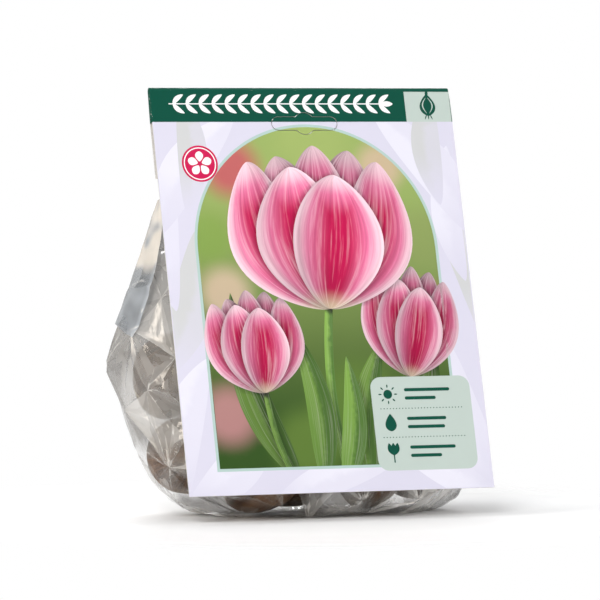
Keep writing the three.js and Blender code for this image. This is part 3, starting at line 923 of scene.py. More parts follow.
# The shares of a small facet's tone that are the larger one's that it lies in, and its own
TONE_TAKEN = 0.7
TONE_OWN = 0.3
# The film mesh's longest edges, how far its creases sway and over what length, how far round a corner
# and how strongly it is rounded, and the pleats below its neck
MOST_HALVINGS = 8
LONGEST_EDGE = 3.2
LONGEST_EDGE_AT_VENT = 0.9
CREASE_SWAY = 0.9
CREASE_SWAY_SIZE = 13
CORNER_ROUNDING = 3.0
ROUNDING_SHARE = 0.75
ROUNDING_STEPS = 5
PLEAT_WIDTH = 9.5
PLEAT_DEPTH = 1.7

# How a triangle is cut: none of its edges halved, one, two, all three, or two and cut the other way.
# 0 to 2 are its corners and 3 to 5 its edges' middles.
CUTS = [
    [[0, 1, 2]],
    [[0, 3, 2], [3, 1, 2]],
    [[3, 1, 4], [0, 3, 2], [3, 4, 2]],
    [[0, 3, 5], [3, 1, 4], [5, 4, 2], [3, 4, 5]],
    [[3, 1, 4], [0, 3, 4], [0, 4, 2]],
]
SHARP_CREASE = math.radians(15)
FAINT_CREASE = math.radians(7)
STRONG_CREASE = math.radians(32)
# Gaps to a bulb at which the film looks clear and hazy, the widest one measured,
# and a height above all bulbs
CLOSE_TO_BULB = 3.5
CLEAR_OF_BULB = 8.5
BULB_REACH = 12.0
BULBS_TOP = 128
# How often the film is pushed off the bulbs, the most at a time, and how much further than it has to go
PUSHES = 3
MOST_PUSHED = 6
PUSHED_FURTHER = 1.1
NOISE_WAVES = 6


def soft_noise(points, size, seed):
    """Smooth noise from -1 to 1 over points, whose patches are about size across."""
    rng = np.random.default_rng(seed)
    total = np.zeros(len(points))
    for _ in range(NOISE_WAVES):
        way = rng.normal(size=3)
        way *= rng.uniform(0.6, 1.5) / (np.linalg.norm(way) * size) * np.pi
        total += np.sin(points @ way + rng.uniform(0, math.tau))
    return total / NOISE_WAVES ** 0.5 / 1.6


def outline_at(z):
    """The bag's left, right, front and back at a height, smooth between the stations."""
    stations = np.array(BAG_STATIONS, float)
    last = len(stations) - 1
    i = int(np.clip(np.searchsorted(stations[:, 0], z) - 1, 0, last - 1))
    before, a, b, after = (stations[k] for k in (max(i - 1, 0), i, i + 1, min(i + 2, last)))
    span = b[0] - a[0]
    t = (z - a[0]) / span
    slope_a = (b - before) / (b[0] - before[0]) * span
    slope_b = (after - a) / (after[0] - a[0]) * span
    value = (2 * t ** 3 - 3 * t ** 2 + 1) * a + (t ** 3 - 2 * t ** 2 + t) * slope_a
    return (value + (3 * t ** 2 - 2 * t ** 3) * b + (t ** 3 - t ** 2) * slope_b)[1:]


def squared(value):
    """A sine or cosine, drawn out towards the corners of a box."""
    return np.sign(value) * np.abs(value) ** (2 / SECTION_SQUARENESS)


def section_at(z, count):
    """The bag's section at a height, as evenly spaced points from the middle of its front."""
    left, right, front, back = outline_at(z)
    angle = -np.pi / 2 + np.linspace(0, math.tau, 401)
    across, deep = squared(np.cos(angle)), squared(np.sin(angle))
    x = (left + right) / 2 + (right - left) / 2 * across * (1 + SECTION_FLARE * deep)
    y = (front + back) / 2 + (back - front) / 2 * deep
    gone = np.concatenate([[0], np.cumsum(np.hypot(np.diff(x), np.diff(y)))])
    at = np.linspace(0, gone[-1], count + 1)[:-1]
    return np.stack([np.interp(at, gone, x), np.interp(at, gone, y), np.full(count, float(z))], axis=1)


def smooth_bag():
    """Rows of points over the bag's smooth shape, from the middle of its bottom to its neck's top."""
    rows = []
    bottom = BAG_STATIONS[0][0]
    first = section_at(bottom, BAG_COLUMNS)
    middle = first.mean(axis=0)
    for t in np.linspace(0.03, 1, BAG_BOTTOM_ROWS, endpoint=False):
        rows.append(middle + (first - middle) * t)
    for t in np.linspace(0, 1, BAG_SIDE_ROWS):
        rows.append(section_at(bottom + (NECK_TOP - bottom) * (0.45 * t + 0.55 * t ** 1.6), BAG_COLUMNS))
    return np.array(rows)


def outward(grid):
    """Unit vectors that point out of a grid's surface."""
    across = np.roll(grid, -1, axis=1) - np.roll(grid, 1, axis=1)
    up = np.gradient(grid, axis=0)
    normal = np.cross(across, up)
    return normal / np.maximum(np.linalg.norm(normal, axis=2, keepdims=True), 1e-9)


def blurred(values, rounds):
    """A grid's values, averaged with their neighbours, round the columns and along the rows."""
    for _ in range(rounds):
        values = (np.roll(values, 1, axis=1) + 2 * values + np.roll(values, -1, axis=1)) / 4
        padded = np.concatenate([values[:1], values, values[-1:]])
        values = (padded[:-2] + 2 * padded[1:-1] + padded[2:]) / 4
    return values


def search_tree(meshes):
    """A search tree over meshes, in millimetres in the card's frame."""
    points, triangles = [], []
    for mesh in meshes:
        mesh.calc_loop_triangles()
        start = len(points)
        points += [WORLD_TO_CARD @ v.co / MM for v in mesh.vertices]
        triangles += [tuple(start + k for k in t.vertices) for t in mesh.loop_triangles]
    return BVHTree.FromPolygons(points, triangles)


def over_the_cad(grid, normals):
    """The smooth bag, moved out or in to the CAD bag's own outer face."""
    tree = search_tree([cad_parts["film_bag"].data])
    moved = np.zeros(grid.shape[:2])
    for index in np.ndindex(*moved.shape):
        point, way = Vector(grid[index]), Vector(normals[index])
        hit, _, _, gone = tree.ray_cast(point + way * CAD_REACH, -way, 2 * CAD_REACH)
        if hit is not None:
            moved[index] = CAD_REACH - gone
    return moved


class Bag:
    """The bag's smooth shape, by row and column, with a flat chart in which its triangles are laid out."""

    def __init__(self):
        grid = smooth_bag()
        normals = outward(grid)
        moved = blurred(over_the_cad(grid, normals), 2)
        self.grid = grid + normals * moved[..., None]
        self.normals = outward(self.grid)
        self.rows, self.columns = grid.shape[:2]
        round_it = np.linalg.norm(np.roll(grid, -1, axis=1) - grid, axis=2).sum(axis=1)
        up_it = np.linalg.norm(np.diff(grid, axis=0), axis=2).mean(axis=1)
        steps = up_it * math.tau / ((round_it[1:] + round_it[:-1]) / 2)
        self.swing = np.concatenate([[0], np.cumsum(steps)])

    def sample(self, values, at):
        """A grid's values at places given as row and column."""
        row = np.clip(at[:, 0], 0, self.rows - 1.001)
        r, c = row.astype(int), np.floor(at[:, 1]).astype(int)
        s, t = (row - r)[:, None], (at[:, 1] - c)[:, None]
        low = values[r, c % self.columns] * (1 - t) + values[r, (c + 1) % self.columns] * t
        high = values[r + 1, c % self.columns] * (1 - t) + values[r + 1, (c + 1) % self.columns] * t
        return low * (1 - s) + high * s

    def chart(self, at, stretch):
        """Places given as row and column, on a flat disc round the middle of the bag's bottom."""
        points = self.sample(self.grid, at)
        bend = 0.10 * soft_noise(points, 60, 501)
        angle = at[:, 1] / self.columns * math.tau + bend * smooth(0, 30, at[:, 0])
        reach = np.exp(np.interp(at[:, 0], np.arange(self.rows), self.swing) / stretch)
        reach[at[:, 0] < 0] = 0.0
        return np.stack([reach * np.cos(angle), reach * np.sin(angle)], axis=1)


def liveliness(points, spacing):
    """How crumpled the film is: in patches, most beside the card and low down, least at its far left."""
    x, depth, height = points.T
    lively = soft_noise(points, 34, 600 + int(spacing)) + 0.6 * smooth(-76, -66, x) - 0.1
    lively += 0.9 * smooth(30, 10, height) - 0.3 * smooth(-78, -84, x)
    return lively + 1.2 * smooth(-82, -76, x) * smooth(-56, -62, x) * smooth(46, 30, depth)


def spread_over(bag, spacing, stretch, share, rng, taken):
    """Random places on the bag, none nearer to another than spacing, left out where the film is calm."""
    count = int(PLACES_TRIED * (10 / spacing) ** 1.2)
    at = np.stack([rng.uniform(0, bag.rows - 1, count), rng.uniform(0, bag.columns, count)], axis=1)
    points = bag.sample(bag.grid, at)
    if share < 1:
        kept = liveliness(points, spacing) > 1.2 * (1 - 2 * share)
        at, points = at[kept], points[kept]
    squeeze = (1, 1, 1 / stretch)
    cells = {}
    for point in bag.sample(bag.grid, taken) * squeeze if len(taken) else []:
        cells.setdefault(tuple((point // spacing).astype(int)), []).append(point)
    chosen = []
    for k, point in enumerate(points * squeeze):
        cell = tuple((point // spacing).astype(int))
        around = [
            other for dx in (-1, 0, 1) for dy in (-1, 0, 1) for dz in (-1, 0, 1)
            for other in cells.get((cell[0] + dx, cell[1] + dy, cell[2] + dz), [])]
        if all(((point - other) ** 2).sum() > spacing ** 2 for other in around):
            chosen.append(k)
            cells.setdefault(cell, []).append(point)
    return at[chosen]


def laid_in(spots, corners, triangles):
    """For spots in the plane, the triangle that each lies in and its three shares there."""
    a, b, c = (corners[triangles[:, k]] for k in range(3))
    area = (b[:, 0] - a[:, 0]) * (c[:, 1] - a[:, 1]) - (b[:, 1] - a[:, 1]) * (c[:, 0] - a[:, 0])
    found = np.zeros(len(spots), int)
    shares = np.zeros((len(spots), 3))
    for k, (x, y) in enumerate(spots):
        u = ((b[:, 0] - x) * (c[:, 1] - y) - (b[:, 1] - y) * (c[:, 0] - x)) / area
        v = ((c[:, 0] - x) * (a[:, 1] - y) - (c[:, 1] - y) * (a[:, 0] - x)) / area
        worst = np.minimum(np.minimum(u, v), 1 - u - v)
        found[k] = worst.argmax()
        shares[k] = u[found[k]], v[found[k]], 1 - u[found[k]] - v[found[k]]
    return found, shares


def crumpled(bag):
    """The film as flat facets: its corners as places and points, its triangles, and a tone for each that
    paints in part of the facet's shade and reflection.
    """
    rng = np.random.default_rng(23)
    stretch = CRUMPLES[0][1]
    around = np.arange(RIM_POINTS) * bag.columns / RIM_POINTS
    rim = np.stack([np.full(RIM_POINTS, bag.rows - 1.0), around], axis=1)
    places = np.concatenate([[[-1.0, 0.0]], rim])
    flat = bag.chart(places, stretch)
    points = bag.sample(bag.grid, places)
    points[0] = bag.grid[0].mean(axis=0)
    ridges, triangles, tones = [], np.zeros((0, 3), int), np.zeros(0)
    for size, longer, height, back, share in CRUMPLES:
        new = spread_over(bag, size, longer, share, rng, places[1:])
        smooth_points, ways = bag.sample(bag.grid, new), bag.sample(bag.normals, new)
        new_flat = bag.chart(new, stretch)
        if len(triangles):
            found, shares = laid_in(new_flat, flat, triangles)
            on_facet = (points[triangles[found]] * shares[..., None]).sum(axis=1)
            new_points = on_facet + (smooth_points - on_facet) * back
            off = rng.normal(size=len(new)) * height * (0.6 + 0.4 * smooth(32, 12, smooth_points[:, 2]))
        else:
            new_points = smooth_points
            off = CRUMPLE_OUT + rng.uniform(-height, height, len(new))
            off += LOW_BULGE * smooth(45, 20, new_points[:, 2]) * smooth(-50, -68, new_points[:, 0])
            off -= FLAP_HOLLOW * smooth(84, 92, new_points[:, 2]) * smooth(-66, -73, new_points[:, 0])
        off = np.clip(off, -1.6 * height, 2 + 1.6 * height) * smooth(*CRUMPLES_END, smooth_points[:, 2])
        new_points = new_points + ways * off[:, None]
        places, flat = np.concatenate([places, new]), np.concatenate([flat, new_flat])
        points = np.concatenate([points, new_points])
        made = delaunay_2d_cdt([Vector(p) for p in flat], ridges, [], 0, 1e-7)
        faces, ridges = np.array(made[2]), [tuple(edge) for edge in made[1]]
        if len(tones):
            inside = laid_in(flat[faces].mean(axis=1), flat, triangles)[0]
            tones = TONE_TAKEN * tones[inside] + TONE_OWN * rng.uniform(size=len(faces))
        else:
            tones = rng.uniform(size=len(faces))
        triangles = faces
    # Each facet's tone, its painted shade and reflection, differs most low down
    height = points[triangles][..., 2].mean(axis=1)
    tones = 0.40 + (tones - 0.5) * (0.9 + 1.5 * smooth(38, 14, height))
    return places, points, triangles, np.clip(tones, 0, 1)


def gathered(points):
    """Pleats that run down from the neck and fade."""
    reach = smooth(92, 142, points[:, 2]) * smooth(150, 143, points[:, 2])
    across = points[:, 0] + 3 * soft_noise(points * (0.3, 0.3, 0.2), 18, 301)
    pleat = np.abs(2 * ((across / PLEAT_WIDTH + 0.4 * soft_noise(points * (1, 1, 0.2), 30, 302)) % 1) - 1)
    return reach * (pleat - 0.6) * PLEAT_DEPTH


def from_vents(points):
    """How far points of the bag's back are from the nearest vent's middle; endless at its front."""
    away = [np.hypot(points[:, 0] - x, points[:, 2] - z) for x, z in VENTS]
    return np.where(points[:, 1] > VENT_DEPTH, np.min(away, axis=0), np.inf)


def refined(points, triangles, values):
    """Points, triangles and their corners' values, with edges halved until none is too long."""
    for _ in range(MOST_HALVINGS):
        edges = np.sort(triangles[:, [[0, 1], [1, 2], [2, 0]]], axis=2).reshape(-1, 2)
        edges, index = np.unique(edges, axis=0, return_inverse=True)
        middles = points[edges].mean(axis=1)
        length = np.linalg.norm(points[edges[:, 0]] - points[edges[:, 1]], axis=1)
        at_vent = from_vents(middles) < 2 * VENT_RADIUS
        long = length > np.where(at_vent, LONGEST_EDGE_AT_VENT, LONGEST_EDGE)
        if not long.any():
            break
        number = np.where(long, len(points) - 1 + np.cumsum(long), -1)
        points = np.concatenate([points, middles[long]])
        triangles, values = halved(points, triangles, values, number[index.reshape(-1)].reshape(-1, 3))
    return points, triangles, values


def halved(points, triangles, values, middles):
    """Triangles cut at their edges' middles, -1 where an edge isn't halved, and their corners' values."""
    marked = middles >= 0
    count = marked.sum(axis=1)
    first = np.where(count == 2, marked.argmin(axis=1) + 1, marked.argmax(axis=1))
    turn = (first[:, None] + np.arange(3)) % 3
    corners = np.concatenate([np.take_along_axis(part, turn, 1) for part in (triangles, middles)], axis=1)
    values = np.take_along_axis(values, turn[..., None], 1)
    values = np.concatenate([values, (values + np.roll(values, -1, axis=1)) / 2], axis=1)
    one_way = np.linalg.norm(points[corners[:, 3]] - points[corners[:, 2]], axis=1)
    other_way = np.linalg.norm(points[corners[:, 4]] - points[corners[:, 0]], axis=1)
    kind = np.where((count == 2) & (other_way < one_way), 4, count)
    cut, cut_values = [], []
    for k, pattern in enumerate(CUTS):
        for three in pattern:
            cut.append(corners[kind == k][:, three])
            cut_values.append(values[kind == k][:, three])
    return np.concatenate(cut), np.concatenate(cut_values)


def softened(mesh, points, corners):
    """Film points with the facets' corners rounded off and the creases between them swayed."""
    ends = np.zeros(len(mesh.edges) * 2, int)
    mesh.edges.foreach_get("vertices", ends)
    first, second = ends.reshape(-1, 2).T
    near = KDTree(len(corners))
    for k, corner in enumerate(corners):
        near.insert(Vector(corner), k)
    near.balance()
    gap = np.array([near.find(Vector(point))[2] for point in points])
    share = (ROUNDING_SHARE * smooth(CORNER_ROUNDING, 0.3 * CORNER_ROUNDING, gap))[:, None]
    count = np.bincount(ends, minlength=len(points))[:, None]
    for _ in range(ROUNDING_STEPS):
        total = np.zeros(points.shape)
        np.add.at(total, first, points[second])
        np.add.at(total, second, points[first])
        points = points + (total / np.maximum(count, 1) - points) * share
    sway = np.stack([soft_noise(points, CREASE_SWAY_SIZE, seed) for seed in (311, 312, 313)], axis=1)
    return points + CREASE_SWAY * sway * smooth(*CRUMPLES_END, points[:, 2])[:, None]


def creased(mesh):
    """Marks a mesh's sharp creases and gives each point the strength of the strongest crease through it."""
    bm = bmesh.new()
    bm.from_mesh(mesh)
    bm.verts.index_update()
    strength = np.zeros(len(bm.verts))
    for edge in bm.edges:
        angle = edge.calc_face_angle(0.0)
        edge.smooth = angle < SHARP_CREASE
        for vert in edge.verts:
            strength[vert.index] = max(strength[vert.index], angle)
    bm.to_mesh(mesh)
    bm.free()
    return smooth(FAINT_CREASE, STRONG_CREASE, strength)


def place_points(mesh, points):
    """Moves a mesh's points to places in millimetres in the card's frame."""
    turn = np.array(CARD_TO_WORLD)
    co = points * MM @ turn[:3, :3].T + turn[:3, 3]
    mesh.vertices.foreach_set("co", co.ravel())
    mesh.update()


def build_film(bulbs):
    """The crumpled film over the CAD bag's outer face, with pleats and vents; it touches no bulb."""
    bag = Bag()
    places, corners, triangles, tones = crumpled(bag)
    tones = np.repeat(tones, 3).reshape(-1, 3, 1)
    values = np.concatenate([film_uv(bag, places, triangles), tones], axis=2)
    points, triangles, values = refined(corners, triangles, values)
    mesh = bpy.data.meshes.new("film")
    mesh.from_pydata([on_card(*p) for p in points], [], triangles.tolist())
    keep_uv(mesh, values[..., :2])
    keep_values(mesh, "Facet", "CORNER", np.repeat(values[..., 2], 4))
    points = softened(mesh, points, corners)
    place_points(mesh, points)
    normals = np.zeros(len(points) * 3)
    mesh.vertex_normals.foreach_get("vector", normals)
    normals = normals.reshape(-1, 3) @ np.array(WORLD_TO_CARD)[:3, :3].T
    points = points + normals * gathered(points)[:, None]
    for _ in range(PUSHES):
        away = over_bulbs(points, bulbs)
        points = points + normals * (np.clip(FILM_GAP - away, 0, MOST_PUSHED) * PUSHED_FURTHER)[:, None]
    points = cleared(points)
    place_points(mesh, points)
    crease = creased(mesh)
    near = smooth(CLEAR_OF_BULB, CLOSE_TO_BULB, away + 1.3 * soft_noise(points, 8, 401))
    keep_values(mesh, "Film", "POINT", np.stack([crease, near, near * 0, near * 0], axis=1))
    cut_vents(mesh)
    mesh.materials.append(film_material("clear_film", FILM_DARK, FILM_LIGHT, FILM_HAZE))
    add_piece("film", mesh, "film", "film_bag")


def film_strip(name, rows, creases, tones, cream_reflection, material):
    """A flattened tube of film from rows of its two plies' points, in the card's frame, with its creases,
    tones and painted cream reflection.
    """
    count, columns = rows.shape[:2]
    faces, uv = [], []
    for r in range(count - 1):
        for c in range(columns):
            a, b = r * columns + c, r * columns + (c + 1) % columns
            faces.append((a, b, b + columns, a + columns))
            uv += [(c, r), (c + 1, r), (c + 1, r + 1), (c, r + 1)]
    mesh = bpy.data.meshes.new(name)
    mesh.from_pydata([on_card(*p) for p in rows.reshape(-1, 3)], [], faces)
    crease = creases.ravel()
    keep_values(mesh, "Film", "POINT", np.stack([crease, crease * 0, cream_reflection.ravel(), crease * 0], axis=1))
    keep_values(mesh, "Facet", "CORNER", np.repeat(tones.ravel()[np.array(faces)], 4))
    keep_uv(mesh, 0.02 + 0.96 * np.array(uv) / (columns, count - 1))
    mesh.materials.append(material)
    mesh.shade_smooth()
    add_piece(name, mesh, "film")


def along_edge(points, t):
    """Points at shares t along a line of corners, at even steps of height."""
    points = np.array(points, float)
    at = np.linspace(0, 1, len(points))
    return np.stack([np.interp(t, at, points[:, k]) for k in range(3)], axis=1)


def build_corner_flap():
    """The flap of the bag's spare corner: a flattened tube of two plies, down to its tip."""
    t = np.linspace(0, 1, FLAP_ROWS)
    back, front = along_edge(FLAP_BACK, t), along_edge(FLAP_FRONT, t)
    out = np.array(FLAP_OUT)
    s = np.linspace(0, 1, FLAP_COLUMNS)
    rows, creases, rims = [], [], []
    for k in range(len(t)):
        width = np.linalg.norm(back[k] - front[k])
        ply = front[k] + np.outer(s, back[k] - front[k])
        swell = np.sin(np.pi * s) ** 0.7 * min(1.0, width / 8)
        fold = np.abs((6 * t[k] + 1.4 * s) % 2 - 1)
        folded = t[k] + 0.05 * np.sin(np.pi * s)
        step = 0.5 * smooth(FLAP_FOLD - 0.02, FLAP_FOLD + 0.02, folded)
        level = FLAP_CLEAR * smooth(0.1, 0.5, t[k]) - FLAP_TUCKED * smooth(0.3, 0.0, t[k])
        level = level + step + 0.7 * fold * swell
        outer = ply + np.outer(level + FLAP_PLY * swell, out)
        inner = ply + np.outer(level - FLAP_PLY * swell, out)
        rows.append(np.concatenate([outer, inner[::-1]]))
        crease = np.maximum(smooth(0.9, 0.0, np.minimum(s, 1 - s) * width), 0.75 * smooth(0.86, 1.0, fold))
        crease = np.maximum(crease, smooth(0.03, 0.0, np.abs(folded - FLAP_FOLD)))
        creases.append(np.concatenate([crease, crease[::-1]]))
        rim = 0.4 * smooth(3.0, 0.8, s * width)
        rims.append(np.concatenate([rim, rim[::-1]]))
    rows = np.array(rows)
    places = rows.reshape(-1, 3)
    patches = soft_noise(places, 9, 701) + 0.5 * soft_noise(places, 4, 702)
    patches = patches.reshape(rows.shape[:2])
    tones = np.interp(t, *zip(*FLAP_TONES))[:, None] + np.array(rims) + 0.2 * patches
    tones = np.clip(tones, 0, 1)
    # A painted cream reflection of warm light on the flap's upper part, in patches
    cream_reflection = smooth(0.36, 0.24, t)[:, None] * smooth(-0.5, 0.35, patches + 0.25)
    dents = soft_noise(places, 7, 703) + 0.5 * soft_noise(places, 3.5, 704)
    rows = rows + FLAP_DENTS * dents.reshape(rows.shape[:2])[..., None] * out
    material = film_material("flap_film", FLAP_DARK, FLAP_LIGHT, FLAP_HAZE)
    film_strip("corner_flap", rows, np.array(creases), tones, cream_reflection, material)


def build_back_seam():
    """The fin seam down the middle of the bag's back, pressed flat to one side, with its ribs along it."""
    tree = search_tree([bpy.data.objects["film"].data])
    heights = np.linspace(SEAM_BOTTOM, SEAM_TOP, SEAM_ROWS)
    across = np.linspace(SEAM_LEFT, SEAM_LEFT + SEAM_WIDTH, SEAM_COLUMNS)
    depths = np.zeros((len(heights), len(across)))
    for r, z in enumerate(heights):
        for c, x in enumerate(across):
            hit = tree.ray_cast(Vector((x, BEHIND_BAG, z)), Vector((0, -1, 0)))[0]
            depths[r, c] = hit.y if hit else depths[r - 1, c]
    depths = blurred(np.pad(depths, ((0, 0), (4, 4)), mode="edge"), 2)[:, 4:-4]
    rows, creases = [], []
    rib = (across - SEAM_LEFT) / SEAM_WIDTH * SEAM_RIBS
    rib_line = smooth(0.6, 1.0, np.abs(2 * (rib % 1) - 1))
    lift = SEAM_GAP + SEAM_LIFT * np.linspace(0, 1, len(across))
    for r, z in enumerate(heights):
        depth = depths[r] + lift + SEAM_THICKNESS
        outer = np.stack([across, depth, np.full(len(across), z)], axis=1)
        inner = outer - (0, SEAM_THICKNESS, 0)
        rows.append(np.concatenate([outer, inner[::-1]]))
        creases.append(np.concatenate([rib_line, rib_line[::-1]]))
    rows, creases = off_the_ground(np.array(rows)), np.array(creases)
    material = bpy.data.materials["clear_film"]
    film_strip("back_seam", rows, creases, creases * 0 + 0.5, creases * 0, material)


def film_uv(bag, places, triangles):
    """Rows and columns of the bag as the film's picture coordinates, cut open up the middle of its front."""
    row, column = places[triangles, 0], places[triangles, 1].copy()
    across = (column.max(axis=1) - column.min(axis=1)) > bag.columns / 2
    column[across] += np.where(column[across] < bag.columns / 2, bag.columns, 0)
    for t, k in np.argwhere(row < 0):
        column[t, k] = (column[t].sum() - column[t, k]) / 2
    return 0.01 + 0.98 * np.stack([column / (1.15 * bag.columns), (row + 1) / bag.rows], axis=2)


def cut_vents(mesh):
    """Opens the round vents in the back of the film, with points drawn onto each hole's edge."""
    bm = bmesh.new()
    bm.from_mesh(mesh)
    places = {v: WORLD_TO_CARD @ v.co / MM for v in bm.verts}
    doomed = []
    for face in bm.faces:
        middle = sum((places[v] for v in face.verts), Vector()) / len(face.verts)
        away = min(math.hypot(middle.x - x, middle.z - z) for x, z in VENTS)
        if middle.y > VENT_DEPTH and away < VENT_RADIUS:
            doomed.append(face)
    bmesh.ops.delete(bm, geom=doomed, context="FACES")
    for vert in bm.verts:
        place = places[vert]
        for x, z in VENTS:
            away = math.hypot(place.x - x, place.z - z)
            if vert.is_boundary and place.y > VENT_DEPTH and away < 2 * VENT_RADIUS:
                share = VENT_RADIUS / away
                vert.co = on_card(x + (place.x - x) * share, place.y, z + (place.z - z) * share)
    bm.to_mesh(mesh)
    bm.free()


def over_bulbs(points, bulbs):
    """How far each point is outside the nearest bulb, below zero inside it, and at most the reach."""
    away = np.full(len(points), BULB_REACH)
    for i, point in enumerate(points):
        if point[2] > BULBS_TOP:
            continue
        spot, way, _, gap = bulbs.find_nearest(Vector(point), BULB_REACH)
        if spot is not None:
            away[i] = -gap if (Vector(point) - spot).dot(way) < 0 else gap
    return away


def cleared(points):
    """Film points moved out of the card and the ground, with the neck's sides drawn in behind the card."""
    limit = CARD_WIDTH / 2 - 1 - 0.4 * points[:, 1]
    over = np.clip(np.abs(points[:, 0]) - limit, 0, 20) * smooth(125, 137, points[:, 2])
    points[:, 0] -= np.sign(points[:, 0]) * over
    behind_card = (np.abs(points[:, 0]) < CARD_WIDTH / 2 + 1.5) & (points[:, 2] > -1.0)
    points[behind_card, 1] = np.maximum(points[behind_card, 1], FILM_GAP)
    neck = points[:, 2] > FLAP_BOTTOM - 2
    points[neck, 1] = np.clip(points[neck, 1], FILM_GAP, FLAP_DEPTH - FILM_GAP)
    return off_the_ground(points)


def off_the_ground(points):
    """Points in the card's frame, lifted along its height until none is in the ground."""
    ground = (points[..., 1] * math.sin(LEAN) - CARD_ORIGIN.z / MM + FILM_GAP) / math.cos(LEAN)
    return np.stack([points[..., 0], points[..., 1], np.maximum(points[..., 2], ground)], axis=-1)


def film_material(name, dark, light, haze_share):
    """Clear film: hazy, with a tone to each facet that paints in its shade and reflection, a painted cream
    reflection where marked, whitened along creases, clearer where a bulb is near.
    """
    material, graph, shader = new_material(
        name, Roughness=0.12, Specular_IOR_Level=1.0, Coat_Weight=0.5, Coat_Roughness=0.05)
    place = graph.place()
    _, crease, near, cream_reflection, _ = graph.kept("Film")
    tone = graph.kept("Facet")[1]
    cloud = graph.noise(place, 36.0, 4.0, 0.55)
    broken = graph.ramp(graph.noise(place, 230.0, 4.0, 0.6), (0.40, 0.1), (0.60, 1))
    patchy = graph.ramp(cloud, (0.42, 0.15), (0.56, 1))
    line = graph.ramp(crease, (0.62, 0), (1.0, 0.8))
    white = graph.math("MULTIPLY", line, graph.math("MULTIPLY", broken, patchy))
    haze = haze_share
    for part, weight in ((cloud, 0.20), (tone, 0.30), (near, -0.50)):
        haze = graph.math("MULTIPLY_ADD", part, weight, haze)
    # The facet's tone paints in its shade and reflection; the cream mark is a painted reflection of warm
    # light
    film = graph.mix(cream_reflection, graph.mix(tone, dark, light), FILM_CREAM_REFLECTION)
    wrinkle = graph.math("PINGPONG", graph.noise(place, 120.0, 1.0, 0.5, 0.8), 0.12)
    relief = graph.math("MULTIPLY", wrinkle, patchy)
    graph.fill(
        shader, Base_Color=graph.mix(white, film, FILM_WHITENED), Normal=graph.bump(relief, 0.35, 0.0016),
        Alpha=graph.math("MULTIPLY_ADD", white, 0.3, haze, clamp=True))
    return material


# The bulbs

TUNIC_DARK = (0.050, 0.026, 0.015)
TUNIC_BROWN = (0.170, 0.094, 0.052)
TUNIC_TAN = (0.24, 0.145, 0.082)
BULB_FLESH = (0.62, 0.52, 0.36)
BULB_BASE = (0.30, 0.23, 0.15)
# The skin's ridges: their size, how deep the coarse and the fine ones are, and how far the skin is inset
RIDGE_SIZE = 0.9
COARSE_RIDGES = 0.35
FINE_RIDGES = 0.12
SKIN_INSET = 0.05


def bulb_axes(points):
    """A bulb's middle, its long axis towards its tip, and the two axes across it."""
    middle = points.mean(axis=0)
    _, axes = np.linalg.eigh(np.cov((points - middle).T))
    long = axes[:, 2]
    along = (points - middle) @ long
    across = np.linalg.norm((points - middle) - np.outer(along, long), axis=1)
    if across[along > np.percentile(along, 80)].mean() > across[along < np.percentile(along, 20)].mean():
        long = -long
    return middle, long, axes[:, 1], np.cross(long, axes[:, 1])


def bulb_mesh(name, seed):
    """A finer copy of a CAD bulb, with low ridges down its skin and coordinates to colour it by."""
    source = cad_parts[name].data
    bm = bmesh.new()
    bm.from_mesh(source)
    bmesh.ops.remove_doubles(bm, verts=bm.verts, dist=1e-6)
    bmesh.ops.subdivide_edges(bm, edges=bm.edges, cuts=2, use_grid_fill=True, smooth=0.6)
    points = np.array([tuple(v.co) for v in bm.verts]) / MM
    middle, long, side, front = bulb_axes(points)
    offset = points - middle
    along = offset @ long
    x, y = offset @ side, offset @ front
    angle, radius = np.arctan2(y, x), np.hypot(x, y)
    low, high = along.min(), along.max()
    v = (along - low) / (high - low)
    wobble = np.stack([np.cos(angle) * 3, np.sin(angle) * 3, v * 1.2 + seed], axis=1)
    ridges = soft_noise(wobble, RIDGE_SIZE, seed) * COARSE_RIDGES
    ridges = ridges + soft_noise(wobble * (3, 3, 1), RIDGE_SIZE, seed + 50) * FINE_RIDGES
    sink = -np.abs(ridges) * smooth(0.02, 0.2, v) * smooth(1.0, 0.85, v) - SKIN_INSET
    outwards = (offset - np.outer(along, long)) / np.maximum(radius, 0.3)[:, None]
    moved = points + outwards * (sink * smooth(0.0, 3.0, radius))[:, None]
    for vert, place in zip(bm.verts, moved):
        vert.co = Vector(place) * MM
    mesh = bpy.data.meshes.new(name)
    bm.to_mesh(mesh)
    bm.free()
    mesh.shade_smooth()
    own = np.full(len(v), (seed * 0.37) % 1)
    east, north = 0.5 + 0.5 * np.cos(angle), 0.5 + 0.5 * np.sin(angle)
    keep_values(mesh, "Skin", "POINT", np.stack([east, north, v, own], axis=1))
    return mesh


def tunic_material():
    """Dry brown bulb skin with fine lengthwise veins, patches of bare pale flesh, and a corky base."""
    material, graph, shader = new_material("bulb_tunic", Roughness=0.5)
    _, east, north, along, own = graph.kept("Skin")
    lengthwise = graph.math("MULTIPLY_ADD", own, 60.0, graph.math("MULTIPLY", along, 1.3))
    round_it = (graph.math("MULTIPLY", side, 16.0) for side in (east, north))
    veins = graph.noise(graph.joined(*round_it, lengthwise), 1.6, 5.0, 0.65)
    blotch = graph.noise(graph.place(), 70.0, 4.0, 0.6)
    colour = graph.mix(graph.ramp(veins, (0.36, 0), (0.64, 1)), TUNIC_DARK, TUNIC_BROWN)
    colour = graph.mix(graph.ramp(blotch, (0.45, 0), (0.7, 0.8)), colour, TUNIC_TAN)
    colour = graph.mix(graph.ramp(blotch, (0.665, 0), (0.675, 1)), colour, BULB_FLESH)
    colour = graph.mix(graph.ramp(along, (0.0, 1), (0.045, 0)), colour, BULB_BASE)
    graph.fill(shader, Base_Color=colour, Normal=graph.bump(veins, 0.5, 0.0005))
    return material


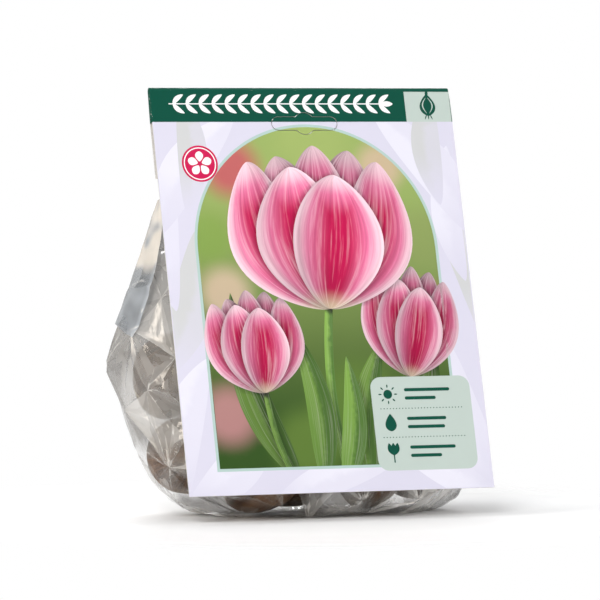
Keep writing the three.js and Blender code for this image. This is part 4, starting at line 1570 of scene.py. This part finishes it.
def build_bulbs():
    """All the bulbs; returns a search tree over them in the card's frame."""
    material = tunic_material()
    meshes = []
    for i, name in enumerate(sorted(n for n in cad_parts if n.startswith("bulb_"))):
        mesh = bulb_mesh(name, i + 1)
        mesh.materials.append(material)
        add_piece("tulip_" + name, mesh, "tunic", name)
        meshes.append(mesh)
    return search_tree(meshes)


# The stage

FLOOR_COLOUR = (0.92, 0.92, 0.92)
FLOOR_HALF = 1.5
# How far from the pack the table starts to fade, and where it is gone, in metres
FADE_START = 0.10
FADE_END = 0.20
WARM_LIGHT = (1.0, 0.90, 0.78)
# The room's light, and what shiny things mirror of it low down and high up
ROOM_COLOUR = (0.80, 0.82, 0.85)
ROOM_STRENGTH = 0.32
MIRRORED_LOW = (0.25, 0.25, 0.26)
MIRRORED_HIGH = (1.7, 1.7, 1.7)


def build_stage():
    """A white table that fades into the white room around it."""
    bm = bmesh.new()
    bmesh.ops.create_grid(bm, x_segments=1, y_segments=1, size=FLOOR_HALF)
    mesh = bpy.data.meshes.new("floor")
    bm.to_mesh(mesh)
    bm.free()
    floor = bpy.data.objects.new("floor", mesh)
    bpy.context.collection.objects.link(floor)
    material, graph, shader = new_material("floor", Roughness=0.7, Base_Color=FLOOR_COLOUR)
    away = graph.add("VectorMath", {"operation": "LENGTH"})
    graph.put(away.inputs[0], graph.place())
    fade = graph.add("MapRange", {"interpolation_type": "SMOOTHSTEP"}, Value=away.outputs["Value"],
                     From_Min=FADE_START, From_Max=FADE_END, To_Min=1.0, To_Max=0.0)
    unseen = graph.math("SUBTRACT", 1.0, graph.add("LightPath").outputs["Is Camera Ray"])
    graph.fill(shader, Alpha=graph.math("MAXIMUM", fade.outputs[0], unseen))
    mesh.materials.append(material)


def area_light(name, place, width, height, power, colour=(1, 1, 1)):
    """A soft box that faces the pack."""
    data = bpy.data.lights.new(name, "AREA")
    data.color = colour
    data.shape = "RECTANGLE"
    data.size, data.size_y = width, height
    data.energy = power
    light = bpy.data.objects.new(name, data)
    light.location = Vector(place)
    light.rotation_euler = (AIM - light.location).to_track_quat("-Z", "Y").to_euler()
    bpy.context.collection.objects.link(light)
    return light


def light_studio():
    """A soft key, thin bright strips that glint on the film, and a room that is white only to the eye."""
    area_light("key", (-0.9, -1.2, 1.2), 0.7, 0.7, 17).visible_glossy = False
    area_light("strip_left", (-1.2, 0.0, 0.5), 0.16, 0.8, 3, WARM_LIGHT)
    area_light("strip_front", (-0.9, -0.9, 0.2), 0.2, 0.6, 3, WARM_LIGHT)
    area_light("strip_top", (-0.3, 0.3, 1.2), 0.8, 0.16, 6)
    area_light("strip_low", (-0.5, -1.4, 0.06), 0.9, 0.1, 3)
    area_light("strip_right", (1.1, -0.5, 0.5), 0.14, 0.8, 4)
    area_light("strip_back", (0.3, 1.2, 0.7), 0.6, 0.14, 4)
    area_light("fill_back", (0.9, 1.2, 0.9), 0.7, 0.7, 6).visible_glossy = False
    world = bpy.data.worlds.new("studio")
    world.use_nodes = True
    bpy.context.scene.world = world
    graph = Graph(world.node_tree)
    path = graph.add("LightPath")
    height = graph.add("SeparateXYZ", Vector=graph.add("TexCoord").outputs["Generated"]).outputs["Z"]
    rise = graph.add("MapRange", {"interpolation_type": "SMOOTHSTEP"}, Value=height,
                     From_Min=-0.1, From_Max=0.9)
    mirrored = graph.mix(rise.outputs[0], MIRRORED_LOW, MIRRORED_HIGH)
    room = graph.nodes["Background"]
    room_colour = graph.mix(path.outputs["Is Glossy Ray"], ROOM_COLOUR, mirrored)
    graph.fill(room, Strength=ROOM_STRENGTH, Color=room_colour)
    backdrop = graph.add("Background", Color=(1.0, 1.0, 1.0), Strength=1.0)
    mixed = graph.add("MixShader")
    graph.put_all(mixed.inputs, (path.outputs["Is Camera Ray"], room.outputs[0], backdrop.outputs[0]))
    graph.put(graph.nodes["World Output"].inputs["Surface"], mixed.outputs[0])


build_card()
build_film(build_bulbs())
build_corner_flap()
build_back_seam()
build_stage()
light_studio()
aim_camera()
scene = bpy.context.scene
scene.view_settings.view_transform = "Standard"
